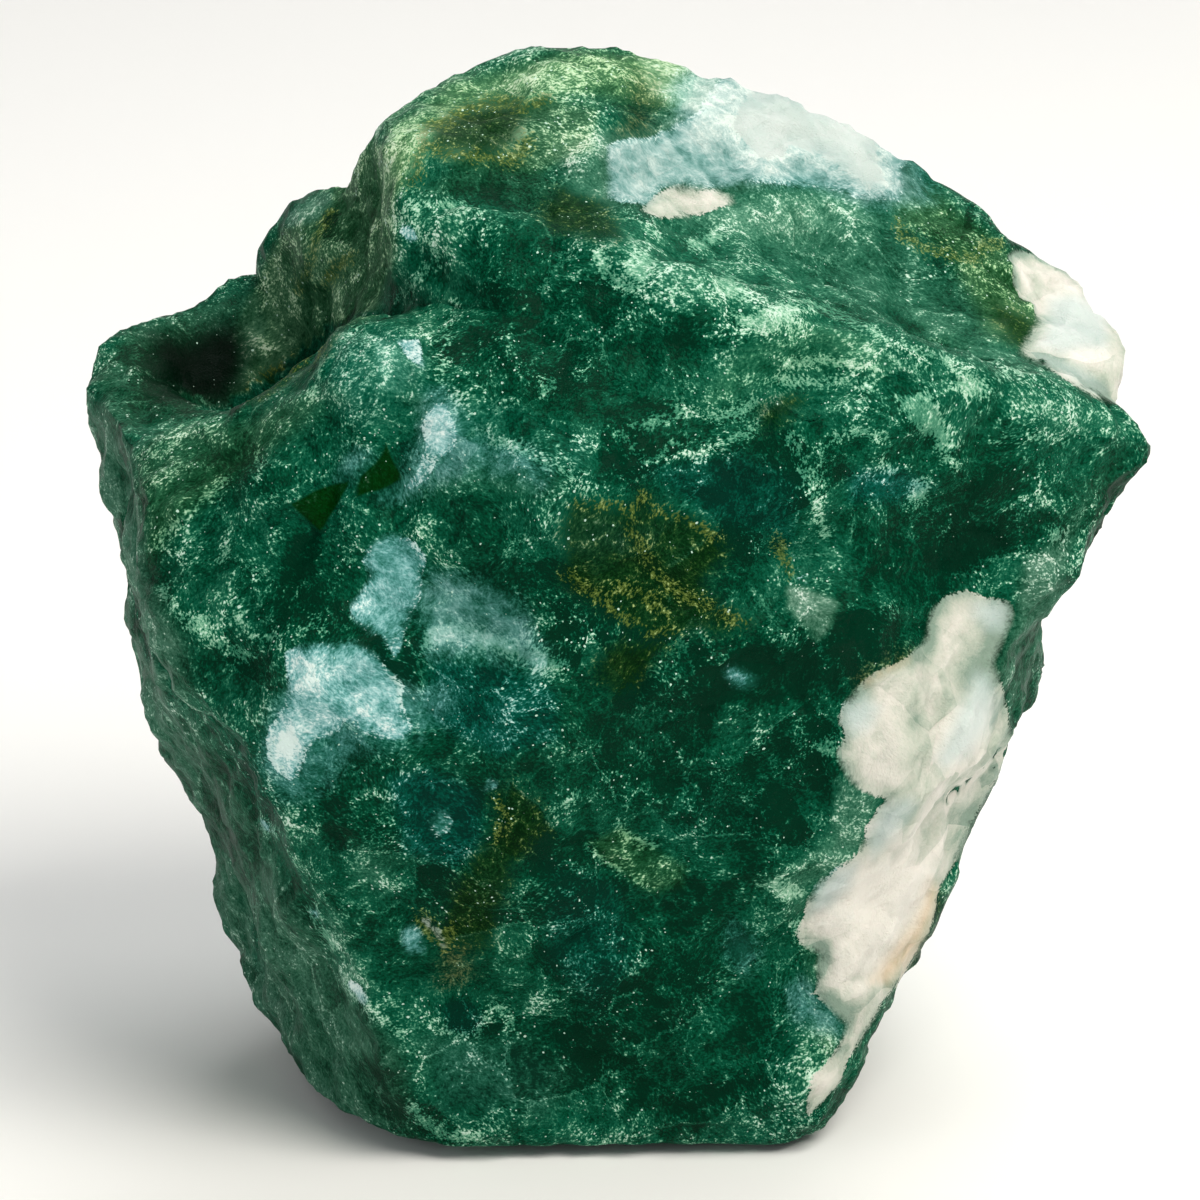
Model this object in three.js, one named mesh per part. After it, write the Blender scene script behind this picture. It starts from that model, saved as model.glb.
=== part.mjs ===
// A raw moss agate: one broken lump of green chalcedony with white quartz in it, as it comes out of the
// ground, standing on the small flat that it rests on.
//
// Millimetres, +Z up, +X to the right as the stone is looked at, -Y towards the viewer. The origin is the
// middle of the stone's footprint box, on the surface that it stands on.
//
// The lump is built the way a stone breaks. Its corners are joined by fracture faces, each face is dished or
// crowned a little, smaller flake scars are sunk in it, the whole is worn so that no ridge is sharp, and
// lumps, grooves and a rough grain are raised on it last. Every mesh edge that crosses two faces is shared, so it is one solid.

import * as THREE from "three";
import { ImprovedNoise } from "three/addons/math/ImprovedNoise.js";
import { TessellateModifier } from "three/addons/modifiers/TessellateModifier.js";
import { mergeVertices } from "three/addons/utils/BufferGeometryUtils.js";

// Driving dimensions
const LONGEST_EDGE = 2.8; // no triangle side of the rough mesh is longer
const MOST_HALVINGS = 20; // rounds of halving, more than the longest side needs
const HALFWAY_SHARE = 0.75; // of a face's dish, reached halfway from its rim to its middle
const WEAR_PASSES = 2; // rounds of wear, each taking the ridges down
const WEAR_SHARE = 0.45; // how far a point moves to the middle of its neighbours in one round
const FLAT_BAND = 0.05; // points this near the resting flat belong to it
const FOOT_RISE = 3.0; // height over which the relief grows from nothing at the resting flat
const MERGE_TOLERANCE = 1e-4;

const AGATE_GREEN = 0x1f6b4a;
const AGATE_ROUGHNESS = 0.35;

// The scars that flakes left: shallow bowls of each size, meeting in ridges, and how deep they are.
const SCARS = [
  { spacing: 15, depth: 1.3 },
  { spacing: 7, depth: 0.7 },
];
const SCAR_REACH = 0.62; // of the spacing, from a bowl's middle to its ridge
const SCAR_LEVEL = 0.7; // of a bowl's depth, where the surface lay before it was struck
const CELL_STRIDES = new THREE.Vector3(1, 57, 3251); // give each cell of the grid a number of its own

// The grain of the broken surface: hills of each size, and how far they stand up.
const GRAIN = [
  { spacing: 11, height: 0.5 },
  { spacing: 5.2, height: 0.35 },
  { spacing: 2.9, height: 0.2 },
];

// The corners where fracture faces meet.
const CORNERS = {
  // The crown: a mossy cap at the top left, and the top edge that falls away to the right.
  crownLeft: [-15, 3, 57.5],
  capFrontLeft: [-13, -5, 58],
  capFront: [-4.5, -3.5, 56.5],
  capFrontRight: [-0.5, -4, 55.5],
  peakLeft: [-7.5, 9, 60.5],
  peak: [0.5, 10.5, 61],
  peakRight: [5, 8.5, 60.5],
  topBackLeft: [10.5, 10.5, 56],
  topBack: [19, 10.5, 52.5],
  topBackRight: [25.5, 8, 47],

  // The ridge between the top and the front, running down to the tip at the right.
  ridgeLeft: [-12.5, -8, 54],
  ridgeLip: [-8, -9, 55.5],
  ridgeDip: [-1, -12, 53],
  ridgeMiddle: [5.5, -15, 51],
  ridgeRight: [14, -14, 49.5],
  ridgeEnd: [21.5, -11, 45.5],
  tip: [31, -5, 40.5],

  // The knob of white quartz behind the tip.
  knobLeft: [23, 0, 45],
  knobFront: [28, -2, 42],
  knobBack: [28, 7, 45.5],
  knobEnd: [29.5, 5, 44],

  // A blunt V under the ridge, where the sloping upper front turns into the main front.
  lobeTop: [-15, -11, 49],
  veeLeft: [-10.5, -18, 47],
  veeBottom: [-2.5, -22, 43],
  veeMiddle: [4.5, -20.5, 44.5],
  veeRight: [11, -18, 46.5],

  // The hollow at the upper left, the shelf in front of it and the low lobe round its back.
  hollowLeft: [-29.5, -6.5, 41.5],
  hollowNear: [-23.5, -4, 41.5],
  hollowRight: [-17.5, -6, 46],
  hollowTop: [-14, -6, 48.5],
  hollowFloor: [-23.5, 4.5, 36.5],
  hollowFloorRight: [-20, 5, 37.5],
  hollowRim: [-27.5, 6, 40.5],
  shelfLeft: [-27, -13, 38.5],
  shelfFront: [-20.5, -16, 42],
  shelfRight: [-17, -15, 46],
  lobeFront: [-32, 6, 41],
  lobeLeft: [-30.5, 10, 42.5],
  lobeBack: [-28, 12, 43],
  lobeMiddle: [-25, 13, 43.5],
  lobeRight: [-22, 14, 45],
  wallTop: [-17, 8, 52.5],
  wallBack: [-20.5, 12, 49],

  // The ridge between the front and the left side, from the shelf down to the foot.
  leftShoulder: [-26, -17, 33.5],
  leftUpper: [-23.5, -19, 29.5],
  leftMiddle: [-19.5, -19, 22],
  leftLower: [-15.5, -17, 11.5],
  leftFoot: [-13.5, -17, 5.5],

  // Where the left side turns away from the viewer.
  sideTop: [-32, 7, 32.5],
  sideUpper: [-30, 5, 29],
  sideMiddle: [-29, 5, 22.5],
  sideLower: [-27, 5, 14.5],
  sideFoot: [-23.5, 4, 6],

  // The main front.
  frontLeft: [-18, -21, 33],
  frontMiddle: [-1, -21.5, 30.5],
  frontRight: [13, -18.5, 35],
  frontLowLeft: [-7, -19.5, 17.5],
  frontLowRight: [7.5, -17.5, 17],

  // The right side and the white quartz face below it.
  rightShoulder: [26.5, -8, 36.5],
  rightRidge: [21.5, -11, 30],
  rightNotch: [23, -7, 24],
  rightUpper: [24, 1, 29.5],
  rightMiddle: [24, 3, 23],
  quartzInnerTop: [17, -16, 26],
  quartzInner: [13, -16, 16.5],
  quartzInnerFoot: [11.5, -14.5, 6],
  quartzTop: [22, -3, 18],
  quartzMiddle: [19, -2, 12],
  quartzLower: [16, -2, 5.5],
  quartzFoot: [13, -8, 2.5],

  // The back.
  backCrownLeft: [-10, 17.5, 50],
  backCrownRight: [6, 19.5, 48.5],
  backShoulder: [19, 17, 42],
  backTip: [25, 10, 35],
  backLobe: [-24, 19, 36],
  backLeft: [-15, 21.5, 30],
  back: [3, 24.5, 31],
  backRight: [19.5, 18, 27],
  backLowLeft: [-18, 16.5, 12],
  backLow: [-2, 19.5, 9],
  backLowRight: [13, 17, 11],

  // The rim of the underside, just clear of the ground.
  rimFrontLeft: [-12, -15.5, 1],
  rimFrontRight: [10.5, -14, 0.5],
  rimRight: [14, 0, 1.5],
  rimBackRight: [11, 12.5, 2],
  rimBackLeft: [-9, 13.5, 2],
  rimLeft: [-21.5, -0.5, 2],
  rimLeftFront: [-18.5, -10.5, 1],

  // The small flat that the stone stands on.
  flatFrontLeft: [-10.5, -9.5, 0],
  flatFrontRight: [6.5, -8, 0],
  flatRight: [9.5, 0.5, 0],
  flatBack: [2, 8.5, 0],
  flatBackLeft: [-9, 7.5, 0],
  flatLeft: [-15, -1.5, 0],
};

// The fracture faces: the corners round each one, counter-clockwise as seen from outside, and how far its
// middle stands out (or is dished in, below 0).
const FACES = [
  { dish: 1.2, rim: "crownLeft capFrontLeft capFront capFrontRight peakRight peak peakLeft" },
  { dish: -1.2, rim: "capFrontLeft ridgeLeft ridgeLip ridgeDip capFrontRight capFront" },
  {
    dish: -0.6,
    rim: "capFrontRight ridgeDip ridgeMiddle ridgeRight ridgeEnd knobLeft topBackRight topBack topBackLeft peakRight",
  },
  { dish: 1.0, rim: "knobLeft knobFront knobEnd knobBack topBackRight" },
  { dish: 0.2, rim: "ridgeEnd tip knobFront knobLeft" },

  {
    dish: 0.9,
    rim: "ridgeDip ridgeLip ridgeLeft hollowTop lobeTop veeLeft veeBottom veeMiddle ridgeMiddle",
  },
  { dish: -0.4, rim: "ridgeMiddle veeMiddle veeRight ridgeEnd ridgeRight" },
  { dish: 0.3, rim: "hollowRight shelfRight lobeTop hollowTop" },
  { dish: 0.3, rim: "shelfRight veeLeft lobeTop" },
  { dish: -0.5, rim: "hollowLeft shelfLeft shelfFront shelfRight hollowRight hollowNear" },

  { dish: 0.3, rim: "hollowLeft hollowNear hollowRim lobeLeft lobeFront" },
  { dish: 0, rim: "hollowNear hollowFloor hollowRim" },
  { dish: -0.3, rim: "hollowNear hollowRight hollowFloorRight hollowFloor" },
  { dish: 0.4, rim: "hollowFloor hollowFloorRight lobeRight lobeMiddle lobeBack lobeLeft hollowRim" },
  {
    dish: -0.9,
    rim: "hollowFloorRight hollowRight hollowTop ridgeLeft capFrontLeft crownLeft wallTop wallBack lobeRight",
  },

  {
    dish: 0.6,
    rim: "shelfLeft leftShoulder leftUpper frontLeft frontMiddle veeBottom veeLeft shelfRight shelfFront",
  },
  {
    dish: 0,
    rim: "veeBottom frontMiddle frontRight rightRidge rightShoulder tip ridgeEnd veeRight veeMiddle",
  },
  { dish: 0.4, rim: "leftUpper leftMiddle leftLower frontLowLeft frontMiddle frontLeft" },
  { dish: -0.3, rim: "frontMiddle frontLowLeft frontLowRight frontRight" },
  { dish: 0.5, rim: "frontRight frontLowRight quartzInner quartzInnerTop rightRidge" },
  {
    dish: 0.4,
    rim: "leftLower leftFoot rimFrontLeft rimFrontRight quartzInnerFoot quartzInner frontLowRight frontLowLeft",
  },

  { dish: 0.9, rim: "rightRidge quartzInnerTop quartzInner quartzMiddle quartzTop rightNotch" },
  { dish: 0.7, rim: "quartzInner quartzInnerFoot rimFrontRight quartzFoot quartzLower quartzMiddle" },
  { dish: -0.6, rim: "tip rightShoulder rightRidge rightNotch rightMiddle rightUpper" },
  { dish: 0, rim: "tip rightUpper rightMiddle backRight backTip knobEnd knobFront" },
  { dish: 0.5, rim: "knobEnd backTip backShoulder topBackRight knobBack" },
  { dish: 0.8, rim: "rightNotch quartzTop quartzMiddle quartzLower backLowRight backRight rightMiddle" },
  { dish: 0.4, rim: "quartzLower quartzFoot rimFrontRight rimRight rimBackRight backLowRight" },

  { dish: -0.4, rim: "shelfLeft hollowLeft lobeFront sideTop sideUpper leftShoulder" },
  { dish: 0.4, rim: "leftShoulder sideUpper sideMiddle sideLower leftMiddle leftUpper" },
  {
    dish: 0.5,
    rim: "leftMiddle sideLower sideFoot rimLeft rimLeftFront rimFrontLeft leftFoot leftLower",
  },

  { dish: 0.6, rim: "lobeFront lobeLeft lobeBack lobeMiddle lobeRight backLobe sideTop" },
  { dish: -0.8, rim: "sideTop backLobe backLeft backLowLeft sideLower sideMiddle sideUpper" },
  { dish: 0.3, rim: "sideLower backLowLeft rimBackLeft rimLeft sideFoot" },
  { dish: -1.1, rim: "lobeRight wallBack wallTop crownLeft peakLeft backCrownLeft backLeft backLobe" },
  { dish: 0.8, rim: "peakLeft peak peakRight topBackLeft backCrownRight backCrownLeft" },
  { dish: -0.5, rim: "backCrownLeft backCrownRight back backLeft" },
  { dish: 0.6, rim: "topBackLeft topBack topBackRight backShoulder backCrownRight" },
  { dish: -0.9, rim: "backCrownRight backShoulder backRight back" },
  { dish: 0.2, rim: "backShoulder backTip backRight" },
  { dish: -0.7, rim: "backLeft back backLow backLowLeft" },
  { dish: 0.5, rim: "back backRight backLowRight backLow" },
  { dish: 0.1, rim: "backLowLeft backLow rimBackLeft" },
  { dish: 0.3, rim: "backLow backLowRight rimBackRight rimBackLeft" },

  { dish: 0, rim: "rimFrontRight rimFrontLeft flatFrontLeft flatFrontRight" },
  { dish: 0, rim: "rimFrontLeft rimLeftFront rimLeft flatLeft flatFrontLeft" },
  { dish: 0, rim: "rimLeft rimBackLeft flatBackLeft flatLeft" },
  { dish: 0, rim: "rimBackLeft rimBackRight flatBack flatBackLeft" },
  { dish: 0, rim: "rimBackRight rimRight flatRight flatBack" },
  { dish: 0, rim: "rimRight rimFrontRight flatFrontRight flatRight" },
  { dish: 0, rim: "flatFrontLeft flatLeft flatBackLeft flatBack flatRight flatFrontRight" },
];

// Lumps (height above 0) and grooves (below 0), each along a line on the surface and as wide as its reach.
const SWELLINGS = [
  { name: "low lobe, outer bump", from: [-29.5, 9, 41], to: [-28, 12, 42], reach: 2.6, height: 0.9 },
  { name: "low lobe, inner bump", from: [-25, 13, 43], to: [-24, 13.5, 43.5], reach: 2.2, height: 1.0 },
  { name: "nick between them", from: [-26.6, 9, 41], to: [-26.4, 14, 43], reach: 1.4, height: -0.7 },
  { name: "crown wall, upper bump", from: [-19.5, 11.5, 49.5], to: [-18.5, 7, 48.5], reach: 2.6, height: 1.1 },
  { name: "crown wall, gully", from: [-17, 3, 51], to: [-16, -2, 47], reach: 1.8, height: -0.5 },
  { name: "cap corner", from: [-12.5, 1, 57], to: [-12, -3, 56.5], reach: 3.2, height: 0.9 },
  { name: "groove beside the low lobe", from: [-29.5, -1, 35.5], to: [-28.5, -3, 28], reach: 1.8, height: -0.9 },
  { name: "lobe crest", from: [-15.5, -12, 48.5], to: [-12, -15, 47.5], reach: 3.2, height: 0.7 },
  { name: "crumbled ridge edge", from: [-1, -12, 53], to: [8, -14.5, 51], reach: 1.8, height: 0.6 },
  { name: "top fault line", from: [0, -3, 55.5], to: [19, -6, 48], reach: 1.6, height: -0.5 },
  { name: "quartz bulge, upper", from: [16, -14.5, 27], to: [14.5, -15, 22], reach: 4.0, height: 0.9 },
  { name: "quartz bulge, lower", from: [15.5, -10, 13], to: [13.5, -11, 7], reach: 4.2, height: 0.9 },
  { name: "notch between the bulges", from: [20, -7, 21], to: [12.5, -16, 19], reach: 2.2, height: -0.8 },
  { name: "foot of the front left ridge", from: [-14, -16.5, 9], to: [-12, -16, 3], reach: 2.6, height: 0.5 },
  { name: "gully down the back", from: [-4, 22, 42], to: [-7, 21, 18], reach: 3.4, height: -1.2 },
  { name: "back rib", from: [12, 20, 40], to: [9, 20.5, 20], reach: 3.6, height: 1.0 },
];

// Outward direction of the plane that fits a ring of points best.
function ringDirection(points) {
  const direction = new THREE.Vector3();
  points.forEach((point, i) => {
    const next = points[(i + 1) % points.length];
    direction.add(new THREE.Vector3().crossVectors(point, next));
  });
  return direction.normalize();
}

// The triangles of one fracture face: two rings of them round its middle, so that the dish is a shallow bowl.
function faceTriangles({ rim, dish }) {
  const corners = rim.split(" ").map((name) => new THREE.Vector3(...CORNERS[name]));
  const outward = ringDirection(corners);
  const middle = corners
    .reduce((sum, corner) => sum.add(corner), new THREE.Vector3())
    .divideScalar(corners.length);
  const halfway = corners.map((corner) =>
    new THREE.Vector3().addVectors(corner, middle).multiplyScalar(0.5).addScaledVector(outward, dish * HALFWAY_SHARE),
  );
  middle.addScaledVector(outward, dish);
  return corners.flatMap((corner, i) => {
    const j = (i + 1) % corners.length;
    return [corner, corners[j], halfway[j], corner, halfway[j], halfway[i], halfway[i], halfway[j], middle];
  });
}

// The block of joined faces, cut up into triangles with no side over LONGEST_EDGE and shared points merged.
function roughBlock() {
  const block = new THREE.BufferGeometry().setFromPoints(FACES.flatMap(faceTriangles));
  const fine = new TessellateModifier(LONGEST_EDGE, MOST_HALVINGS).modify(block);
  return mergeVertices(fine, MERGE_TOLERANCE);
}

// For each point of a mesh, the numbers of the points that share an edge with it.
function neighboursOf(geometry) {
  const neighbours = Array.from({ length: geometry.attributes.position.count }, () => new Set());
  const index = geometry.index.array;
  for (let i = 0; i < index.length; i += 3) {
    for (let k = 0; k < 3; k += 1) {
      const a = index[i + k];
      const b = index[i + ((k + 1) % 3)];
      neighbours[a].add(b);
      neighbours[b].add(a);
    }
  }
  return neighbours;
}

// Moves every point by what change(point, number) gives, all at once. The resting flat stays flat.
function moveAll(geometry, change) {
  const position = geometry.attributes.position;
  const moved = Array.from({ length: position.count }, (_, i) => {
    const point = new THREE.Vector3().fromBufferAttribute(position, i);
    const onFlat = point.z < FLAT_BAND;
    point.add(change(point, i));
    return onFlat ? point.setZ(0) : point;
  });
  moved.forEach((point, i) => position.setXYZ(i, point.x, point.y, Math.max(point.z, 0)));
}

// Wears the ridges down, as rolling and rubbing does.
function wear(geometry) {
  const neighbours = neighboursOf(geometry);
  const position = geometry.attributes.position;
  for (let pass = 0; pass < WEAR_PASSES; pass += 1) {
    moveAll(geometry, (point, i) => {
      const mean = new THREE.Vector3();
      neighbours[i].forEach((j) => mean.add(new THREE.Vector3().fromBufferAttribute(position, j)));
      return mean.divideScalar(neighbours[i].size).sub(point).multiplyScalar(WEAR_SHARE);
    });
  }
}

// The middle of the bowl that belongs to one cell of a grid, in cells. It is the same on every run.
function scarMiddle(cell) {
  const random = THREE.MathUtils.seededRandom;
  const x = random(cell.dot(CELL_STRIDES));
  return new THREE.Vector3(x, random(), random()).add(cell);
}

// How far a point lies from the nearest bowl's middle, in cells.
function scarDistance(point) {
  const home = point.clone().floor();
  let nearest = Infinity;
  for (let i = -1; i <= 1; i += 1) {
    for (let j = -1; j <= 1; j += 1) {
      for (let k = -1; k <= 1; k += 1) {
        const cell = new THREE.Vector3(i, j, k).add(home);
        nearest = Math.min(nearest, scarMiddle(cell).distanceTo(point));
      }
    }
  }
  return nearest;
}

// How far the flake scars rise towards their ridges at a point.
function scarHeight(point) {
  return SCARS.reduce((sum, { spacing, depth }) => {
    const away = scarDistance(point.clone().divideScalar(spacing)) / SCAR_REACH;
    return sum + depth * (Math.min(away, 1) ** 2 - SCAR_LEVEL);
  }, 0);
}

// How far the grain of the broken stone stands up at a point.
const noise = new ImprovedNoise();
function grainHeight(point) {
  return GRAIN.reduce((sum, { spacing, height }) => {
    const at = point.clone().divideScalar(spacing);
    return sum + height * noise.noise(at.x, at.y, at.z);
  }, 0);
}

// How far the lumps and grooves stand up at a point, fading out at each one's reach.
function swellingHeight(point) {
  return SWELLINGS.reduce((sum, { from, to, reach, height }) => {
    const line = new THREE.Line3(new THREE.Vector3(...from), new THREE.Vector3(...to));
    const away = line.closestPointToPoint(point, true, new THREE.Vector3()).distanceTo(point);
    return sum + height * (1 - THREE.MathUtils.smoothstep(away, 0, reach * 2));
  }, 0);
}

// Moves every point along its own outward direction by heightAt(point), and not at all on the resting flat.
function raiseRelief(geometry, heightAt) {
  geometry.computeVertexNormals();
  const normal = geometry.attributes.normal;
  moveAll(geometry, (point, i) => {
    const share = THREE.MathUtils.smoothstep(point.z, 0, FOOT_RISE);
    return new THREE.Vector3().fromBufferAttribute(normal, i).multiplyScalar(heightAt(point) * share);
  });
}

// Puts the origin in the middle of the footprint box, on the resting flat.
function standOnOrigin(geometry) {
  geometry.computeBoundingBox();
  const centre = geometry.boundingBox.getCenter(new THREE.Vector3());
  geometry.translate(-centre.x, -centre.y, -geometry.boundingBox.min.z);
}

function mossAgate() {
  const geometry = roughBlock();
  raiseRelief(geometry, scarHeight);
  wear(geometry);
  raiseRelief(geometry, (point) => swellingHeight(point) + grainHeight(point));
  standOnOrigin(geometry);
  geometry.computeVertexNormals();

  const material = new THREE.MeshStandardMaterial({
    color: AGATE_GREEN,
    roughness: AGATE_ROUGHNESS,
    metalness: 0,
  });
  const stone = new THREE.Mesh(geometry, material);
  stone.name = "moss_agate";
  return stone;
}

const specimen = new THREE.Group();
specimen.name = "raw_moss_agate";
specimen.add(mossAgate());

export default specimen;
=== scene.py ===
"""A raw moss agate on a pale studio floor.

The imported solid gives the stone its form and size. A finer copy of it takes its place here: the copy is cut
up small, broken into facets and ledges, and dressed in the stone's own minerals. Lengths are millimetres
where a name ends in _mm or a docstring says so, and metres in everything that Blender is given.
"""

import logging
import math
from dataclasses import dataclass, field
from enum import Enum

import bmesh
import bpy
import numpy as np
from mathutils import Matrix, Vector, noise

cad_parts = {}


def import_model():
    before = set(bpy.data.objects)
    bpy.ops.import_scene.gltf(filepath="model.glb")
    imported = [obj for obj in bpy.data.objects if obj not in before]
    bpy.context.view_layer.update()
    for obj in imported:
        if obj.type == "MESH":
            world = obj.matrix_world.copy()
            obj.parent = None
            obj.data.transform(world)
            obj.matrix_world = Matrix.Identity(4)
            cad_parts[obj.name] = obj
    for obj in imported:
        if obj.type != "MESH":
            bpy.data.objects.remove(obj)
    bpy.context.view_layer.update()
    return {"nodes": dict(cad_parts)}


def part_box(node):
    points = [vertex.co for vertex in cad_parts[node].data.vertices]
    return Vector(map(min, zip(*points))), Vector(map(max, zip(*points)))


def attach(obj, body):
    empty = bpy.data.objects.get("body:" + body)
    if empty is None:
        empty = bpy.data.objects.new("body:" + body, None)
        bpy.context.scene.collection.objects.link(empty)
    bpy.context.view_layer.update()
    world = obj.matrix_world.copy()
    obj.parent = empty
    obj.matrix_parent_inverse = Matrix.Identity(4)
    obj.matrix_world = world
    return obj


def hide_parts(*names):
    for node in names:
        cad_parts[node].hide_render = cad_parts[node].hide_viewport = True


log = logging.getLogger("moss_agate")

MM = 0.001
NODE = "moss_agate"
HALF = Vector((0.5, 0.5, 0.5))


def linear(code: str) -> tuple[float, float, float, float]:
    """Turns an sRGB hex colour into the linear colour that the shader works in.

    Args:
        code: the colour as "#rrggbb".

    Returns:
        Red, green, blue and an alpha of 1.
    """
    channels = [int(code[i : i + 2], 16) / 255 for i in (1, 3, 5)]
    red, green, blue = (c / 12.92 if c <= 0.04045 else ((c + 0.055) / 1.055) ** 2.4 for c in channels)
    return red, green, blue, 1.0


def smoothstep(low: float, high: float, value: np.ndarray) -> np.ndarray:
    """Rises smoothly from 0 to 1 between two values.

    Args:
        low: where the rise starts.
        high: where it ends.
        value: the values to look up.

    Returns:
        An array of the same shape, from 0 to 1.
    """
    share = np.clip((value - low) / (high - low), 0.0, 1.0)
    return share * share * (3.0 - 2.0 * share)

class Mineral(Enum):
    """What lies in the green stone. Each value names the mesh attribute that holds how deep a point lies in it."""

    QUARTZ = "quartz"
    WHITE = "white"
    MILK = "milk"
    HAZE = "haze"
    MOSS = "moss"
    THREAD = "thread"
    RUST = "rust"
    CRUSHED = "crushed"
    GLASS = "glass"
    # Not a mineral: painted shade that darkens the hollow.
    PAINTED_HOLLOW_SHADE = "painted_hollow_shade"


@dataclass(frozen=True)
class Patch:
    """A patch of one mineral, with its place read off the photograph.

    Attributes:
        mineral: what it is made of.
        points: the pixels of its outline, or of its middle line.
        width: half the width of a line in pixels, or 0 for a closed outline.
    """

    mineral: Mineral
    points: tuple[tuple[int, int], ...]
    width: float = 0.0


@dataclass(frozen=True)
class Tint:
    """A soft change of the green stone's colour, with its place read off the photograph: its own colour in most
    places, and painted light and shade in some.

    Attributes:
        lighter: how much lighter it gets, from -1 to 1.
        warmer: how far it turns to olive, or to teal below 0.
        duller: how far it greys.
        soft: half the width of its edge, in pixels.
        points: the pixels of its outline.
    """

    lighter: float
    warmer: float
    duller: float
    soft: float
    points: tuple[tuple[int, int], ...]


@dataclass(frozen=True)
class Seam:
    """A seam of one mineral that the photograph doesn't show, or not all of: a chain of balls in the stone.

    Attributes:
        mineral: what it is made of.
        balls: the (x, y, z, radius) of each ball in millimetres, joined in order.
    """

    mineral: Mineral
    balls: tuple[tuple[float, float, float, float], ...]

    def depth(self, points: np.ndarray) -> np.ndarray:
        """Says how deep points lie in the seam.

        Args:
            points: an array of points, in millimetres.

        Returns:
            The millimetres below the seam's skin, or above it as less than 0.
        """
        chain = np.array(self.balls)
        best = np.full(len(points), -np.inf)
        for start, end in zip(chain[:-1], chain[1:]):
            along = end[:3] - start[:3]
            share = np.clip((points - start[:3]) @ along / (along @ along), 0.0, 1.0)
            away = np.linalg.norm(points - start[:3] - share[:, None] * along, axis=1)
            best = np.maximum(best, start[3] + (end[3] - start[3]) * share - away)
        return best


QUARTZ = (
    # The big vein down the right of the front: two bulges, the neck between them and the thin tail.
    Patch(Mineral.QUARTZ, ((930, 612), (945, 598), (968, 592), (985, 600), (1008, 602), (1012, 612),
                           (1003, 635), (991, 663), (1003, 690), (1011, 715), (1014, 745), (1003, 775),
                           (988, 795), (972, 820), (962, 850), (950, 872), (938, 884), (938, 910),
                           (930, 932), (915, 957), (897, 985), (880, 1008), (865, 1030), (848, 1058),
                           (840, 1085), (826, 1104), (808, 1120), (808, 1100), (812, 1078), (824, 1060),
                           (838, 1042), (844, 1024), (828, 1005), (815, 995), (820, 980), (815, 965),
                           (820, 952), (800, 946), (794, 934), (804, 922), (805, 905), (818, 882),
                           (840, 866), (856, 856), (864, 838), (872, 815), (886, 798), (872, 795),
                           (852, 784), (841, 768), (836, 750), (848, 740), (838, 722), (843, 706),
                           (858, 688), (878, 668), (906, 658), (925, 640))),
    # The knob behind the tip.
    Patch(Mineral.QUARTZ, ((1042, 290), (1055, 280), (1075, 285), (1100, 298), (1118, 312), (1124, 330),
                           (1116, 352), (1116, 378), (1108, 402), (1092, 396), (1068, 380), (1044, 364),
                           (1018, 352), (1022, 336), (1034, 322), (1036, 304))),
    # The cream crust beside the brown drift.
    Patch(Mineral.QUARTZ, ((423, 917), (431, 924), (440, 932)), 2.5),
    Patch(Mineral.QUARTZ, ((436, 934), (442, 946)), 2.0),
    # The cream island under the haze on top, and the thickest of the haze behind it.
    Patch(Mineral.QUARTZ, ((732, 130), (740, 100), (766, 86), (800, 92), (850, 112), (872, 136), (876, 158),
                           (886, 184), (862, 186), (842, 168), (820, 154), (796, 146), (786, 158),
                           (762, 160), (746, 148))),
    Patch(Mineral.QUARTZ, ((642, 212), (652, 198), (668, 189), (684, 187), (700, 191), (716, 189),
                           (729, 195), (733, 203), (716, 211), (702, 217), (682, 216), (664, 218))),
)
COOL_AND_SHADED_QUARTZ = (
    # Bluish facets in the quartz, which the milky veil's own colour gives: partly the quartz's cool colour, partly
    # painted shade on facets turned from the light.
    Patch(Mineral.MILK, ((972, 602), (1004, 603), (1008, 612), (1000, 632), (984, 632), (970, 618))),
    # Painted shade: the facet turned to the right, greyed blue.
    Patch(Mineral.MILK, ((972, 668), (986, 672), (998, 700), (992, 730), (970, 760), (940, 770),
                         (932, 756), (948, 730), (962, 700))),
    Patch(Mineral.MILK, ((842, 705), (868, 694), (884, 706), (872, 730), (852, 738), (840, 722))),
    Patch(Mineral.MILK, ((812, 888), (834, 868), (858, 860), (852, 888), (830, 908), (808, 918))),
    Patch(Mineral.MILK, ((880, 806), (908, 794), (914, 806), (896, 836), (872, 858), (866, 840))),
    Patch(Mineral.MILK, ((700, 100), (740, 60), (840, 80), (910, 150), (900, 200), (840, 190), (720, 180))),
    Patch(Mineral.MILK, ((1050, 298), (1075, 292), (1112, 312), (1106, 350), (1060, 356), (1034, 344),
                         (1044, 320))),
    Patch(Mineral.MILK, ((1034, 352), (1050, 356), (1080, 370), (1106, 392), (1092, 390), (1050, 362))),
)
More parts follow.
